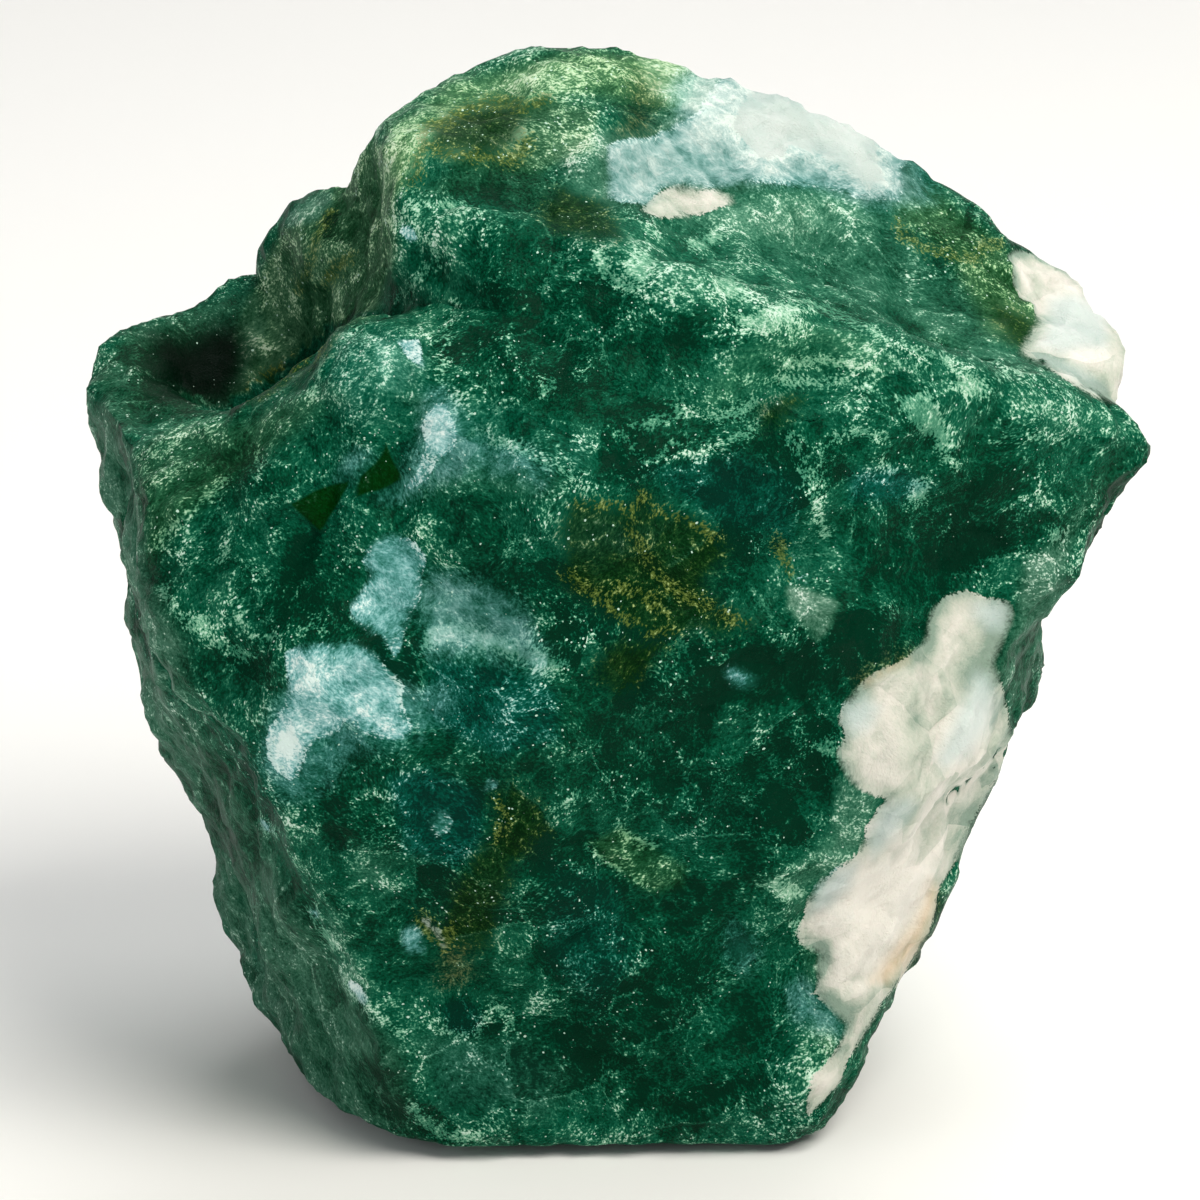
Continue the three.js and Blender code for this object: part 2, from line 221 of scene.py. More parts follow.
HAZE = (
    # The brightest veil, at the left, with its dark-rimmed lower lobe.
    Patch(Mineral.MILK, ((283, 652), (300, 642), (318, 640), (335, 642), (352, 640), (372, 650),
                         (392, 670), (405, 685), (402, 700), (405, 715), (414, 728), (408, 740),
                         (394, 742), (376, 738), (360, 728), (346, 718), (338, 732), (322, 738),
                         (311, 750), (306, 762), (298, 778), (290, 782), (280, 774), (271, 762),
                         (268, 745), (272, 730), (282, 716), (286, 700), (287, 680))),
    Patch(Mineral.WHITE, ((284, 656), (304, 652), (326, 664), (318, 682), (300, 694), (286, 690))),
    Patch(Mineral.WHITE, ((330, 676), (346, 690), (368, 712), (392, 730), (412, 736)), 2.0),
    Patch(Mineral.WHITE, ((276, 736), (290, 722), (306, 716), (322, 708), (332, 712), (312, 724),
                          (302, 738), (298, 762), (288, 774), (276, 760))),
    Patch(Mineral.HAZE, ((414, 694), (440, 690), (450, 700), (430, 730), (400, 748), (350, 752),
                         (320, 790), (290, 800), (264, 770), (280, 700), (330, 644), (380, 680))),
    # The speckled veil above it and the thin fan to its right.
    Patch(Mineral.MILK, ((368, 548), (384, 535), (400, 537), (416, 545), (428, 560), (420, 580),
                         (420, 600), (412, 612), (404, 626), (402, 646), (396, 660), (390, 650),
                         (382, 638), (368, 634), (354, 624), (347, 612), (350, 598), (362, 588),
                         (370, 574), (364, 560))),
    Patch(Mineral.WHITE, ((352, 600), (362, 594), (360, 608), (350, 614)), 2.0),
    Patch(Mineral.HAZE, ((416, 592), (430, 580), (446, 576), (482, 580), (510, 600), (526, 622),
                         (532, 644), (560, 668), (540, 676), (500, 656), (430, 652), (420, 630))),
    # The stream that runs down from the square facets.
    Patch(Mineral.MILK, ((430, 412), (440, 394), (450, 408), (462, 436), (456, 452), (440, 458),
                         (432, 476), (412, 490), (400, 492), (418, 470), (428, 446), (424, 428))),
    Patch(Mineral.HAZE, ((428, 392), (446, 390), (470, 430), (500, 446), (530, 450), (550, 470),
                         (536, 484), (510, 474), (480, 470), (440, 480), (400, 500), (380, 500),
                         (410, 470), (424, 440))),
    Patch(Mineral.HAZE, ((366, 452), (356, 470), (342, 482), (346, 464), (354, 454))),
    Patch(Mineral.MILK, ((396, 338), (426, 338), (424, 368), (412, 358))),
    Patch(Mineral.WHITE, ((404, 340), (424, 340), (423, 364))),
    Patch(Mineral.MILK, ((402, 226), (412, 226), (420, 240), (410, 244), (400, 236))),
    # The white cloud over the top edge, and the blue one in front of it.
    Patch(Mineral.MILK, ((606, 146), (626, 140), (650, 140), (672, 128), (700, 112), (716, 96),
                         (736, 80), (762, 70), (810, 80), (860, 104), (890, 136), (904, 168),
                         (904, 192), (880, 198), (856, 197), (840, 188), (820, 176), (800, 168),
                         (778, 168), (748, 172), (736, 184), (716, 190), (684, 188), (664, 190),
                         (650, 204), (624, 206), (606, 200))),
    Patch(Mineral.HAZE, ((668, 90), (690, 60), (740, 50), (840, 80), (930, 150), (930, 200),
                         (880, 204), (800, 180), (730, 180), (690, 140))),
    Patch(Mineral.WHITE, ((724, 122), (736, 96), (754, 80), (790, 80), (850, 100), (880, 130),
                          (880, 158), (896, 188), (880, 196), (858, 192), (842, 176), (820, 160),
                          (796, 150), (786, 164), (758, 164), (744, 152), (728, 140))),
    # Bright crumbs on the edges.
    Patch(Mineral.MILK, ((355, 985), (362, 990), (366, 998)), 5.0),
    Patch(Mineral.WHITE, ((355, 985), (362, 990), (366, 998)), 8.0),
    Patch(Mineral.MILK, ((264, 824), (269, 830)), 3.5),
    Patch(Mineral.MILK, ((312, 910), (315, 914)), 3.0),
    # Small veils.
    Patch(Mineral.MILK, ((424, 822), (438, 810), (452, 820), (448, 834), (432, 838))),
    Patch(Mineral.MILK, ((400, 926), (412, 918), (422, 930), (426, 950), (412, 956), (402, 946))),
    Patch(Mineral.MILK, ((480, 790), (490, 772), (502, 784))),
    Patch(Mineral.HAZE, ((788, 990), (804, 984), (820, 1000), (850, 1008), (846, 1030), (818, 1030),
                         (798, 1018))),
    Patch(Mineral.HAZE, ((730, 924), (748, 934), (754, 956), (742, 970), (728, 950))),
    Patch(Mineral.MILK, ((789, 553), (797, 556), (812, 580), (806, 588), (794, 574)), 1.0),
    Patch(Mineral.WHITE, ((790, 553), (799, 562), (809, 580)), 2.0),
    Patch(Mineral.MILK, ((720, 672), (730, 664), (744, 670), (760, 680), (744, 690), (728, 686))),
    Patch(Mineral.WHITE, ((728, 676), (734, 677)), 3.5),
)
MOSS = (
    # The moss in the middle of the front, with its two long threads and its pale rim.
    Patch(Mineral.MOSS, ((577, 500), (600, 508), (630, 510), (640, 495), (650, 498), (656, 514),
                         (680, 515), (705, 528), (722, 550), (716, 566), (702, 580), (706, 600),
                         (726, 610), (746, 625), (720, 632), (692, 632), (670, 641), (646, 636),
                         (626, 622), (600, 602), (580, 592), (563, 576), (570, 550), (562, 532),
                         (570, 514))),
    Patch(Mineral.THREAD, ((644, 496), (634, 512), (628, 530), (642, 546), (650, 564), (668, 584),
                           (690, 600), (716, 612), (744, 625)), 2.0),
    Patch(Mineral.THREAD, ((566, 572), (580, 584), (600, 598), (622, 616), (646, 632), (670, 636)), 2.5),
    Patch(Mineral.THREAD, ((620, 586), (640, 592), (652, 600), (664, 612)), 3.5),
    Patch(Mineral.THREAD, ((656, 514), (676, 514), (694, 524), (712, 538)), 1.5),
    Patch(Mineral.THREAD, ((578, 500), (596, 506), (620, 508)), 1.2),
    Patch(Mineral.CRUSHED, ((660, 606), (670, 598), (668, 612), (660, 614))),
    Patch(Mineral.MOSS, ((600, 656), (624, 644), (652, 646), (668, 652), (652, 664), (632, 684),
                         (612, 690), (598, 676))),
    # The brown drift below it.
    Patch(Mineral.MOSS, ((496, 798), (514, 782), (534, 800), (548, 826), (528, 846), (512, 866),
                         (504, 900), (490, 940), (462, 950), (446, 946), (440, 930), (452, 896),
                         (466, 870), (482, 846), (494, 830))),
    Patch(Mineral.THREAD, ((502, 800), (504, 822), (494, 840)), 2.0),
    Patch(Mineral.THREAD, ((420, 918), (430, 926), (440, 944), (448, 930)), 4.5),
    Patch(Mineral.RUST, ((440, 962), (448, 956), (462, 952), (468, 972), (456, 982), (444, 982))),
    # The cap's threads and its rusty spots.
    Patch(Mineral.THREAD, ((408, 182), (418, 176), (416, 160), (424, 144), (424, 126), (444, 121),
                           (458, 118), (470, 106), (498, 102), (530, 106), (548, 98)), 3.5),
    Patch(Mineral.THREAD, ((436, 152), (460, 157), (486, 156), (504, 162), (522, 154), (530, 140)), 2.5),
    Patch(Mineral.MOSS, ((430, 128), (470, 112), (500, 106), (524, 112), (520, 140), (500, 152),
                         (460, 150), (434, 146))),
    Patch(Mineral.MOSS, ((540, 210), (560, 190), (600, 206), (616, 222), (622, 240), (600, 236),
                         (570, 232), (548, 224))),
    Patch(Mineral.RUST, ((620, 134), (630, 118), (640, 122), (650, 132))),
    Patch(Mineral.RUST, ((628, 84), (640, 76), (656, 84), (662, 100), (650, 108), (636, 104))),
    # The lip on the right slope and the rim of the knob.
    Patch(Mineral.THREAD, ((896, 222), (906, 238), (924, 250), (948, 256), (974, 260), (984, 248),
                           (998, 246)), 2.0),
    Patch(Mineral.MOSS, ((996, 306), (1014, 312), (1030, 322), (1022, 344), (1008, 334), (992, 320))),
    # Painted shade darkening the hollow nearly to black, and brown streaks on its wall.
    Patch(Mineral.PAINTED_HOLLOW_SHADE, ((150, 336), (186, 344), (214, 326), (240, 330), (250, 350), (244, 376),
                         (226, 402), (190, 402), (156, 390))),
    Patch(Mineral.MOSS, ((246, 396), (262, 376), (300, 354), (340, 328), (330, 350), (296, 378),
                         (262, 402))),
    Patch(Mineral.THREAD, ((250, 392), (270, 376), (292, 366), (318, 350)), 2.0),
    Patch(Mineral.THREAD, ((330, 284), (338, 268), (350, 256)), 2.0),
    Patch(Mineral.THREAD, ((300, 288), (310, 268), (318, 240), (330, 212)), 1.2),
    Patch(Mineral.MOSS, ((756, 408), (780, 396), (802, 400), (790, 420), (766, 426))),
    Patch(Mineral.THREAD, ((779, 543), (786, 556), (792, 574)), 3.0),
    Patch(Mineral.RUST, ((868, 680), (884, 667), (904, 658)), 3.5),
    Patch(Mineral.RUST, ((930, 880), (938, 890), (936, 912), (916, 954), (888, 986), (872, 984),
                         (890, 956), (914, 924))),
)
CRUSHED = (
    # The crumbled ridge under the top.
    Patch(Mineral.CRUSHED, ((598, 254), (604, 268), (614, 280), (634, 288), (650, 290)), 5.0),
    Patch(Mineral.CRUSHED, ((622, 262), (640, 250), (654, 254), (652, 274), (642, 286), (626, 274))),
    Patch(Mineral.CRUSHED, ((708, 282), (734, 274), (754, 294), (736, 302), (716, 296))),
    Patch(Mineral.CRUSHED, ((728, 322), (760, 308), (790, 298), (804, 312), (790, 320), (764, 332),
                            (742, 332))),
    Patch(Mineral.CRUSHED, ((684, 240), (706, 236), (720, 226), (726, 238), (706, 246), (690, 250))),
    Patch(Mineral.CRUSHED, ((800, 302), (836, 310), (868, 330), (900, 344), (940, 358), (970, 374),
                            (1000, 398)), 3.0),
    Patch(Mineral.CRUSHED, ((948, 386), (962, 372), (984, 378), (982, 396), (966, 396))),
    Patch(Mineral.CRUSHED, ((1000, 374), (1016, 372), (1022, 382)), 2.5),
    # Pale rims round the V and on the edge below it.
    Patch(Mineral.CRUSHED, ((496, 442), (520, 446), (544, 462), (566, 474), (580, 490), (586, 502)), 3.0),
    Patch(Mineral.CRUSHED, ((620, 430), (632, 448), (646, 462), (662, 456), (676, 444), (692, 458),
                            (720, 446), (748, 430), (770, 406), (790, 384)), 1.8),
    Patch(Mineral.CRUSHED, ((640, 424), (680, 412), (720, 418), (756, 400)), 4.0),
    Patch(Mineral.CRUSHED, ((788, 438), (800, 448), (804, 474), (814, 496), (822, 522), (828, 534)), 3.5),
    Patch(Mineral.CRUSHED, ((856, 424), (838, 436), (822, 452), (820, 474), (822, 494)), 2.2),
    Patch(Mineral.CRUSHED, ((838, 432), (868, 430), (884, 436)), 3.0),
    Patch(Mineral.CRUSHED, ((740, 372), (760, 382), (780, 376), (800, 384), (850, 380)), 2.2),
    Patch(Mineral.CRUSHED, ((786, 362), (830, 362), (870, 368)), 4.0),
    Patch(Mineral.CRUSHED, ((854, 384), (872, 384), (872, 394), (858, 396))),
    Patch(Mineral.CRUSHED, ((936, 450), (950, 452), (958, 470), (944, 464))),
    Patch(Mineral.CRUSHED, ((896, 398), (926, 390), (940, 416), (958, 446), (950, 462), (930, 440),
                            (908, 420))),
    Patch(Mineral.CRUSHED, ((912, 484), (930, 482), (926, 500), (914, 508))),
    Patch(Mineral.CRUSHED, ((884, 464), (894, 470)), 3.0),
    # The lip under the cap, and the edge down from it.
    Patch(Mineral.CRUSHED, ((400, 212), (420, 206), (446, 204), (474, 212)), 3.0),
    Patch(Mineral.CRUSHED, ((400, 226), (416, 228), (430, 240), (436, 262)), 1.8),
    Patch(Mineral.CRUSHED, ((396, 296), (410, 284), (426, 268)), 1.5),
    Patch(Mineral.CRUSHED, ((452, 300), (450, 330), (444, 360), (438, 378)), 1.5),
    Patch(Mineral.CRUSHED, ((510, 128), (524, 122), (532, 132), (522, 146), (512, 140))),
    Patch(Mineral.CRUSHED, ((342, 318), (328, 332), (320, 352), (318, 380), (310, 402)), 1.5),
    Patch(Mineral.CRUSHED, ((540, 390), (552, 378), (556, 386), (544, 396))),
    Patch(Mineral.CRUSHED, ((450, 398), (468, 392), (462, 404))),
    # The left edge and the squiggles near it.
    Patch(Mineral.CRUSHED, ((160, 548), (170, 532), (188, 512), (208, 494), (224, 480)), 2.0),
    Patch(Mineral.CRUSHED, ((164, 592), (176, 612), (190, 630), (214, 642), (250, 656)), 3.0),
    Patch(Mineral.CRUSHED, ((186, 616), (210, 618), (216, 640), (200, 636))),
    Patch(Mineral.CRUSHED, ((262, 448), (256, 458), (261, 472)), 1.2),
    Patch(Mineral.CRUSHED, ((226, 532), (228, 546), (220, 560)), 1.4),
    Patch(Mineral.CRUSHED, ((243, 616), (246, 632), (262, 640), (276, 636), (284, 646)), 1.8),
    Patch(Mineral.CRUSHED, ((248, 566), (258, 572)), 4.0),
    Patch(Mineral.CRUSHED, ((296, 632), (312, 616), (322, 630)), 1.4),
    Patch(Mineral.CRUSHED, ((340, 716), (362, 730), (386, 741), (408, 740), (413, 728)), 1.5),
    Patch(Mineral.CRUSHED, ((430, 636), (460, 628), (490, 640), (520, 654), (556, 668)), 9.0),
    Patch(Mineral.CRUSHED, ((344, 978), (356, 990), (366, 1000), (384, 1018), (404, 1034)), 2.5),
    Patch(Mineral.CRUSHED, ((354, 984), (366, 990), (368, 1002), (358, 996))),
    Patch(Mineral.CRUSHED, ((264, 824), (270, 832)), 3.5),
    Patch(Mineral.CRUSHED, ((310, 908), (316, 918)), 3.5),
    Patch(Mineral.CRUSHED, ((324, 934), (334, 946)), 4.0),
    Patch(Mineral.CRUSHED, ((414, 1108), (430, 1124), (450, 1134), (480, 1136)), 5.0),
    Patch(Mineral.CRUSHED, ((428, 1020), (440, 1032), (460, 1038), (484, 1030), (492, 1020)), 1.4),
    Patch(Mineral.CRUSHED, ((498, 1006), (512, 1018), (510, 1030)), 2.0),
    # The pale drifts beside the quartz.
    Patch(Mineral.CRUSHED, ((758, 882), (782, 876), (800, 896), (786, 902)), 0.0),
    Patch(Mineral.CRUSHED, ((794, 924), (812, 920), (822, 936), (812, 950), (796, 946))),
    Patch(Mineral.CRUSHED, ((812, 744), (832, 738), (834, 752), (820, 754))),
    Patch(Mineral.CRUSHED, ((812, 1066), (826, 1054), (842, 1062), (836, 1084), (820, 1100),
                            (810, 1090))),
    Patch(Mineral.CRUSHED, ((1052, 528), (1070, 528), (1066, 544), (1052, 540))),
    Patch(Mineral.CRUSHED, ((1000, 444), (1030, 436), (1070, 440)), 1.2),
    Patch(Mineral.CRUSHED, ((590, 848), (606, 862), (622, 870)), 2.0),
    Patch(Mineral.CRUSHED, ((620, 826), (628, 842), (650, 846)), 2.5),
    Patch(Mineral.CRUSHED, ((556, 812), (570, 802), (578, 794)), 1.4),
)
GLASS = (
    # Clear windows, where the dark inside shows.
    Patch(Mineral.GLASS, ((290, 506), (312, 492), (350, 481), (338, 504), (321, 530))),
    Patch(Mineral.GLASS, ((353, 499), (360, 477), (376, 461), (385, 444), (391, 464), (401, 480),
                          (384, 489))),
)
PATCHES = QUARTZ + COOL_AND_SHADED_QUARTZ + HAZE + MOSS + CRUSHED + GLASS

TINTS = (
    # The grey splinter right of the moss.
    Tint(0.34, 0.2, 1.0, 3, ((788, 586), (806, 588), (840, 600), (834, 624), (820, 640), (792, 610))),
    Tint(0.16, 0.0, 0.2, 6, ((426, 630), (490, 630), (556, 660), (556, 676), (500, 656), (430, 650))),
    Tint(0.3, 0.6, 0.3, 12, ((640, 56), (700, 60), (736, 96), (700, 116), (650, 100))),
    # The olive drift under the middle.
    Tint(0.05, 0.6, 0.0, 8, ((590, 840), (620, 826), (650, 846), (690, 866), (686, 888), (656, 896),
                             (630, 884), (604, 866))),
    # The lit shelf at the left, the cap, the lobe on the right slope and the top slopes: warm colour, and painted
    # light where the top is lit.
    Tint(0.06, 0.5, 0.2, 16, ((125, 450), (160, 424), (250, 414), (320, 384), (340, 400), (290, 440),
                               (230, 480), (180, 520), (150, 570), (140, 500))),
    Tint(0.4, 0.7, 0.0, 16, ((384, 120), (450, 80), (560, 50), (690, 50), (720, 100), (650, 110),
                               (600, 100), (540, 104), (450, 120), (404, 190), (384, 190))),
    Tint(0.08, 0.8, 0.3, 10, ((440, 110), (540, 104), (600, 110), (590, 150), (540, 170), (440, 160))),
    Tint(0.14, 0.7, 0.0, 14, ((860, 150), (930, 186), (1000, 240), (1050, 290), (1030, 352),
                               (984, 330), (950, 260), (900, 226))),
    Tint(-0.14, 0.0, 0.0, 8, ((900, 214), (940, 204), (990, 232), (980, 254), (940, 252), (910, 236))),
    Tint(-0.1, 0.0, 0.0, 14, ((880, 240), (940, 270), (1000, 340), (980, 350), (900, 290))),
    # Painted light on the lit top slopes and ridge.
    Tint(0.22, 0.0, 0.3, 18, ((660, 200), (800, 186), (860, 204), (820, 236), (740, 240), (680, 226))),
    Tint(0.26, 0.1, 0.4, 10, ((548, 140), (606, 130), (610, 206), (584, 200), (556, 176))),
    Tint(0.2, 0.0, 0.3, 20, ((730, 190), (880, 204), (900, 240), (960, 280), (1000, 340), (1060, 380),
                             (960, 360), (860, 310), (780, 260), (720, 230))),
    Tint(0.18, 0.0, 0.0, 12, ((600, 210), (700, 220), (760, 250), (840, 300), (960, 360), (1080, 410),
                              (1130, 430), (1040, 420), (900, 380), (800, 330), (700, 300), (620, 260))),
    Tint(0.2, 0.2, 0.0, 14, ((740, 345), (800, 320), (860, 330), (900, 360), (880, 385), (830, 375),
                             (780, 385), (740, 400), (700, 410))),
    Tint(0.1, 0.1, 0.0, 14, ((1050, 420), (1140, 430), (1120, 480), (1060, 520), (1010, 500))),
    Tint(0.14, 0.1, 0.0, 12, ((396, 206), (480, 214), (460, 250), (450, 300), (430, 340), (400, 320),
                              (396, 260))),
    # Grey light on the haze over the top.
    Tint(-0.12, 0.0, 0.9, 14, ((730, 90), (760, 60), (840, 80), (910, 130), (920, 200), (860, 200),
                             (800, 176), (750, 176))),
    Tint(0.14, 0.0, 0.9, 12, ((596, 140), (680, 110), (700, 60), (800, 70), (900, 120), (920, 200),
                              (860, 200), (800, 180), (740, 190), (640, 210), (600, 206))),
    # Smooth teal-green facets round the left of the front: teal colour, and painted sheen where the upper ones are
    # lightened.
    # Painted sheen on the smooth upper facets.
    Tint(0.14, -0.15, 0.0, 10, ((330, 330), (420, 326), (440, 390), (420, 440), (360, 430), (320, 400))),
    Tint(0.2, -0.1, 0.0, 3, ((374, 338), (396, 340), (416, 360), (424, 372), (402, 392), (382, 390))),
    Tint(0.12, -0.3, 0.0, 14, ((430, 395), (520, 400), (600, 440), (575, 480), (520, 450), (450, 430))),
    Tint(0.18, -0.4, 0.3, 8, ((416, 592), (446, 576), (482, 580), (510, 600), (526, 622), (532, 644),
                              (500, 640), (430, 646))),
    Tint(-0.1, -0.8, 0.0, 12, ((430, 656), (500, 662), (560, 690), (560, 740), (500, 756), (420, 720))),
    Tint(0.04, -1.0, 0.0, 14, ((390, 780), (430, 772), (478, 790), (480, 850), (456, 866), (404, 850))),
    Tint(0.03, -0.8, 0.0, 12, ((850, 470), (900, 470), (934, 488), (900, 504), (852, 500))),
    Tint(-0.02, -0.5, 0.0, 16, ((640, 466), (740, 450), (800, 480), (790, 540), (700, 520))),
    Tint(-0.14, -0.5, 0.0, 20, ((540, 850), (620, 880), (640, 960), (600, 1020), (540, 960))),
    Tint(-0.02, -0.4, 0.4, 20, ((420, 1040), (520, 1040), (580, 1080), (540, 1110), (440, 1100))),
    Tint(0.16, 0.0, 0.2, 14, ((360, 850), (400, 856), (390, 890), (352, 880))),
    Tint(0.18, 0.0, 0.2, 14, ((318, 900), (340, 920), (372, 990), (356, 1000), (330, 960))),
    Tint(0.04, 0.1, 0.0, 16, ((380, 1010), (420, 1030), (440, 1110), (490, 1140), (410, 1130))),
    Tint(0.26, 0.1, 0.3, 9, ((836, 776), (880, 790), (866, 850), (840, 870), (806, 890), (800, 930),
                             (790, 900), (750, 880), (790, 870), (832, 840))),
    Tint(0.2, 0.3, 0.2, 9, ((800, 940), (822, 950), (816, 1000), (840, 1020), (830, 1050), (812, 1030),
                            (806, 980))),
    # Light creamy faces of the quartz.
    Tint(0.3, 0.0, 0.0, 10, ((846, 870), (900, 860), (934, 890), (926, 930), (896, 980), (860, 1000),
                             (826, 990), (824, 940), (810, 930), (820, 890))),
    Tint(0.14, 0.3, 0.0, 14, ((800, 1020), (840, 1030), (836, 1060), (812, 1100), (780, 1110),
                              (790, 1060))),
    # Darker, clearer stone, with painted shade under the top ridge and under the V.
    # Painted shade, in a band under the top ridge.
    Tint(-0.16, 0.0, 0.0, 3, ((600, 266), (612, 280), (632, 292), (653, 305), (680, 312), (708, 320),
                              (728, 332), (750, 342), (720, 352), (690, 348), (660, 352), (620, 350),
                              (590, 320), (580, 290))),
    Tint(-0.24, 0.0, 0.0, 5, ((350, 1052), (372, 1056), (400, 1076), (412, 1104), (404, 1126),
                              (376, 1116), (356, 1090))),
    Tint(-0.09, 0.0, 0.0, 10, ((570, 600), (620, 620), (670, 646), (740, 640), (850, 600), (880, 640),
                               (840, 680), (760, 700), (640, 700), (580, 700), (556, 640))),
    Tint(-0.1, 0.1, 0.0, 9, ((282, 530), (350, 530), (362, 560), (346, 596), (350, 624), (310, 632),
                             (282, 620), (276, 570))),
    Tint(-0.12, 0.0, 0.0, 10, ((520, 430), (580, 476), (640, 440), (700, 430), (740, 440), (650, 480),
                               (640, 500), (570, 510), (530, 500))),
    Tint(-0.12, 0.0, 0.0, 10, ((540, 590), (620, 610), (640, 640), (600, 650), (550, 630))),
    Tint(-0.12, 0.0, 0.0, 10, ((550, 760), (620, 760), (620, 810), (560, 810))),
    Tint(-0.1, 0.0, 0.0, 10, ((920, 600), (960, 570), (970, 640), (930, 660))),
    Tint(-0.1, 0.0, 0.0, 10, ((920, 260), (970, 264), (976, 310), (940, 310))),
    Tint(-0.1, 0.0, 0.0, 8, ((480, 980), (530, 990), (520, 1030), (480, 1030))),
    Tint(-0.12, -0.1, 0.0, 10, ((230, 740), (262, 730), (290, 800), (280, 830), (250, 790))),
    Tint(0.12, 0.0, 0.0, 10, ((280, 690), (320, 680), (330, 700), (300, 716))),
    Tint(0.14, 0.0, 0.0, 10, ((930, 400), (990, 410), (1000, 436), (950, 440))),
    Tint(0.12, 0.0, 0.0, 10, ((338, 960), (372, 950), (380, 990), (352, 1000))),
    Tint(-0.06, 0.0, 0.0, 12, ((460, 490), (560, 500), (566, 560), (540, 600), (480, 570), (440, 540))),
    Tint(-0.08, 0.0, 0.0, 12, ((470, 330), (600, 400), (640, 430), (560, 440), (480, 400))),
    Tint(-0.1, 0.0, 0.0, 14, ((300, 770), (420, 740), (560, 770), (560, 840), (500, 900), (420, 900),
                              (360, 860), (310, 820))),
    Tint(-0.1, 0.0, 0.0, 14, ((380, 1050), (480, 1060), (520, 1120), (440, 1130), (390, 1110))),
    Tint(-0.12, 0.0, 0.0, 10, ((425, 356), (450, 330), (470, 360), (460, 400), (436, 400))),
    Tint(-0.3, -0.3, 0.0, 4, ((372, 630), (384, 640), (392, 660), (400, 660), (406, 636), (420, 640),
                              (420, 680), (408, 690), (392, 682), (380, 664))),
    Tint(-0.14, -0.4, 0.0, 4, ((396, 440), (424, 440), (426, 462), (408, 480), (396, 474))),
    Tint(-0.26, -0.5, 0.0, 4, ((436, 1010), (460, 1000), (486, 1010), (488, 1024), (468, 1036),
                               (446, 1031))),
    Tint(-0.06, 0.4, 0.2, 12, ((420, 196), (460, 164), (530, 164), (580, 200), (600, 244), (540, 220),
                               (490, 200))),
    Tint(-0.1, 0.0, 0.0, 7, ((470, 225), (560, 225), (592, 262), (600, 292), (560, 310), (500, 300),
                               (460, 280))),
    Tint(-0.1, 0.0, 0.0, 7, ((480, 330), (600, 330), (640, 350), (700, 350), (640, 390), (560, 400),
                               (500, 370))),
    # Painted shade under the V.
    Tint(-0.18, -0.1, 0.0, 7, ((584, 484), (600, 462), (624, 446), (646, 470), (660, 470), (750, 442), (794, 424), (815, 490), (800, 540),
                                (760, 570), (720, 540), (700, 500), (650, 490))),
    Tint(-0.14, 0.0, 0.0, 22, ((830, 450), (900, 500), (1040, 450), (1060, 480), (1030, 540), (990, 585),
                               (930, 586), (890, 646), (840, 700), (820, 790), (740, 740), (640, 700),
                               (640, 650), (760, 640), (850, 560))),
    Tint(-0.12, 0.0, 0.0, 26, ((560, 750), (640, 740), (760, 760), (830, 810), (790, 880), (700, 910),
                              (660, 900), (720, 860), (700, 820), (600, 800))),
    Tint(-0.15, 0.0, 0.0, 26, ((600, 980), (700, 960), (780, 1000), (800, 1050), (780, 1110), (640, 1110),
                              (560, 1060))),
    Tint(0.12, -0.1, 0.0, 12, ((172, 540), (200, 506), (260, 500), (280, 540), (270, 600), (282, 640),
                               (240, 650), (190, 620), (168, 580))),
    Tint(0.12, -0.1, 0.2, 10, ((412, 398), (440, 400), (460, 440), (560, 476), (560, 500), (480, 490),
                               (400, 500), (396, 470), (424, 440))),
    # The rim of the hollow and its inside, out of the light.
    Tint(-0.06, 0.3, 0.5, 10, ((96, 380), (130, 330), (220, 300), (260, 290), (270, 330), (240, 400),
                               (160, 420), (110, 440))),
    Tint(-0.2, 0.3, 0.5, 16, ((140, 350), (180, 330), (240, 330), (250, 400), (180, 420), (130, 410))),
    # The brown wall of the hollow, and the grey-green side faces that lie in shade, with painted shade and a painted
    # grey sheen on them.
    Tint(0.2, 1.0, 0.3, 12, ((236, 330), (270, 260), (300, 200), (340, 180), (372, 140), (394, 160),
                               (394, 250), (378, 312), (330, 330), (260, 392), (236, 400))),
    # Painted shade on the left side face.
    Tint(-0.1, 0.0, 0.0, 14, ((196, 720), (250, 770), (300, 880), (350, 980), (410, 1060), (414, 1130),
                              (330, 1120), (250, 1000), (200, 860))),
    Tint(0.16, -0.8, 0.6, 6, ((284, 214), (296, 200), (330, 190), (334, 204), (316, 226), (290, 228))),
    Tint(-0.2, 0.2, 0.0, 6, ((306, 224), (336, 206), (344, 230), (330, 246), (306, 244))),
    # Painted grey sheen on the left side face.
    Tint(0.15, 0.1, 0.8, 12, ((90, 400), (128, 440), (150, 570), (180, 640), (196, 720), (262, 830),
                              (330, 960), (400, 1050), (412, 1130), (330, 1120), (250, 1000),
                              (190, 860), (130, 690), (100, 560))),
    # Painted grey sheen on the right side face.
    Tint(0.1, 0.1, 0.8, 8, ((1060, 536), (1090, 500), (1060, 600), (1020, 720), (1000, 690),
                            (992, 664), (1012, 620), (1030, 560))),
)

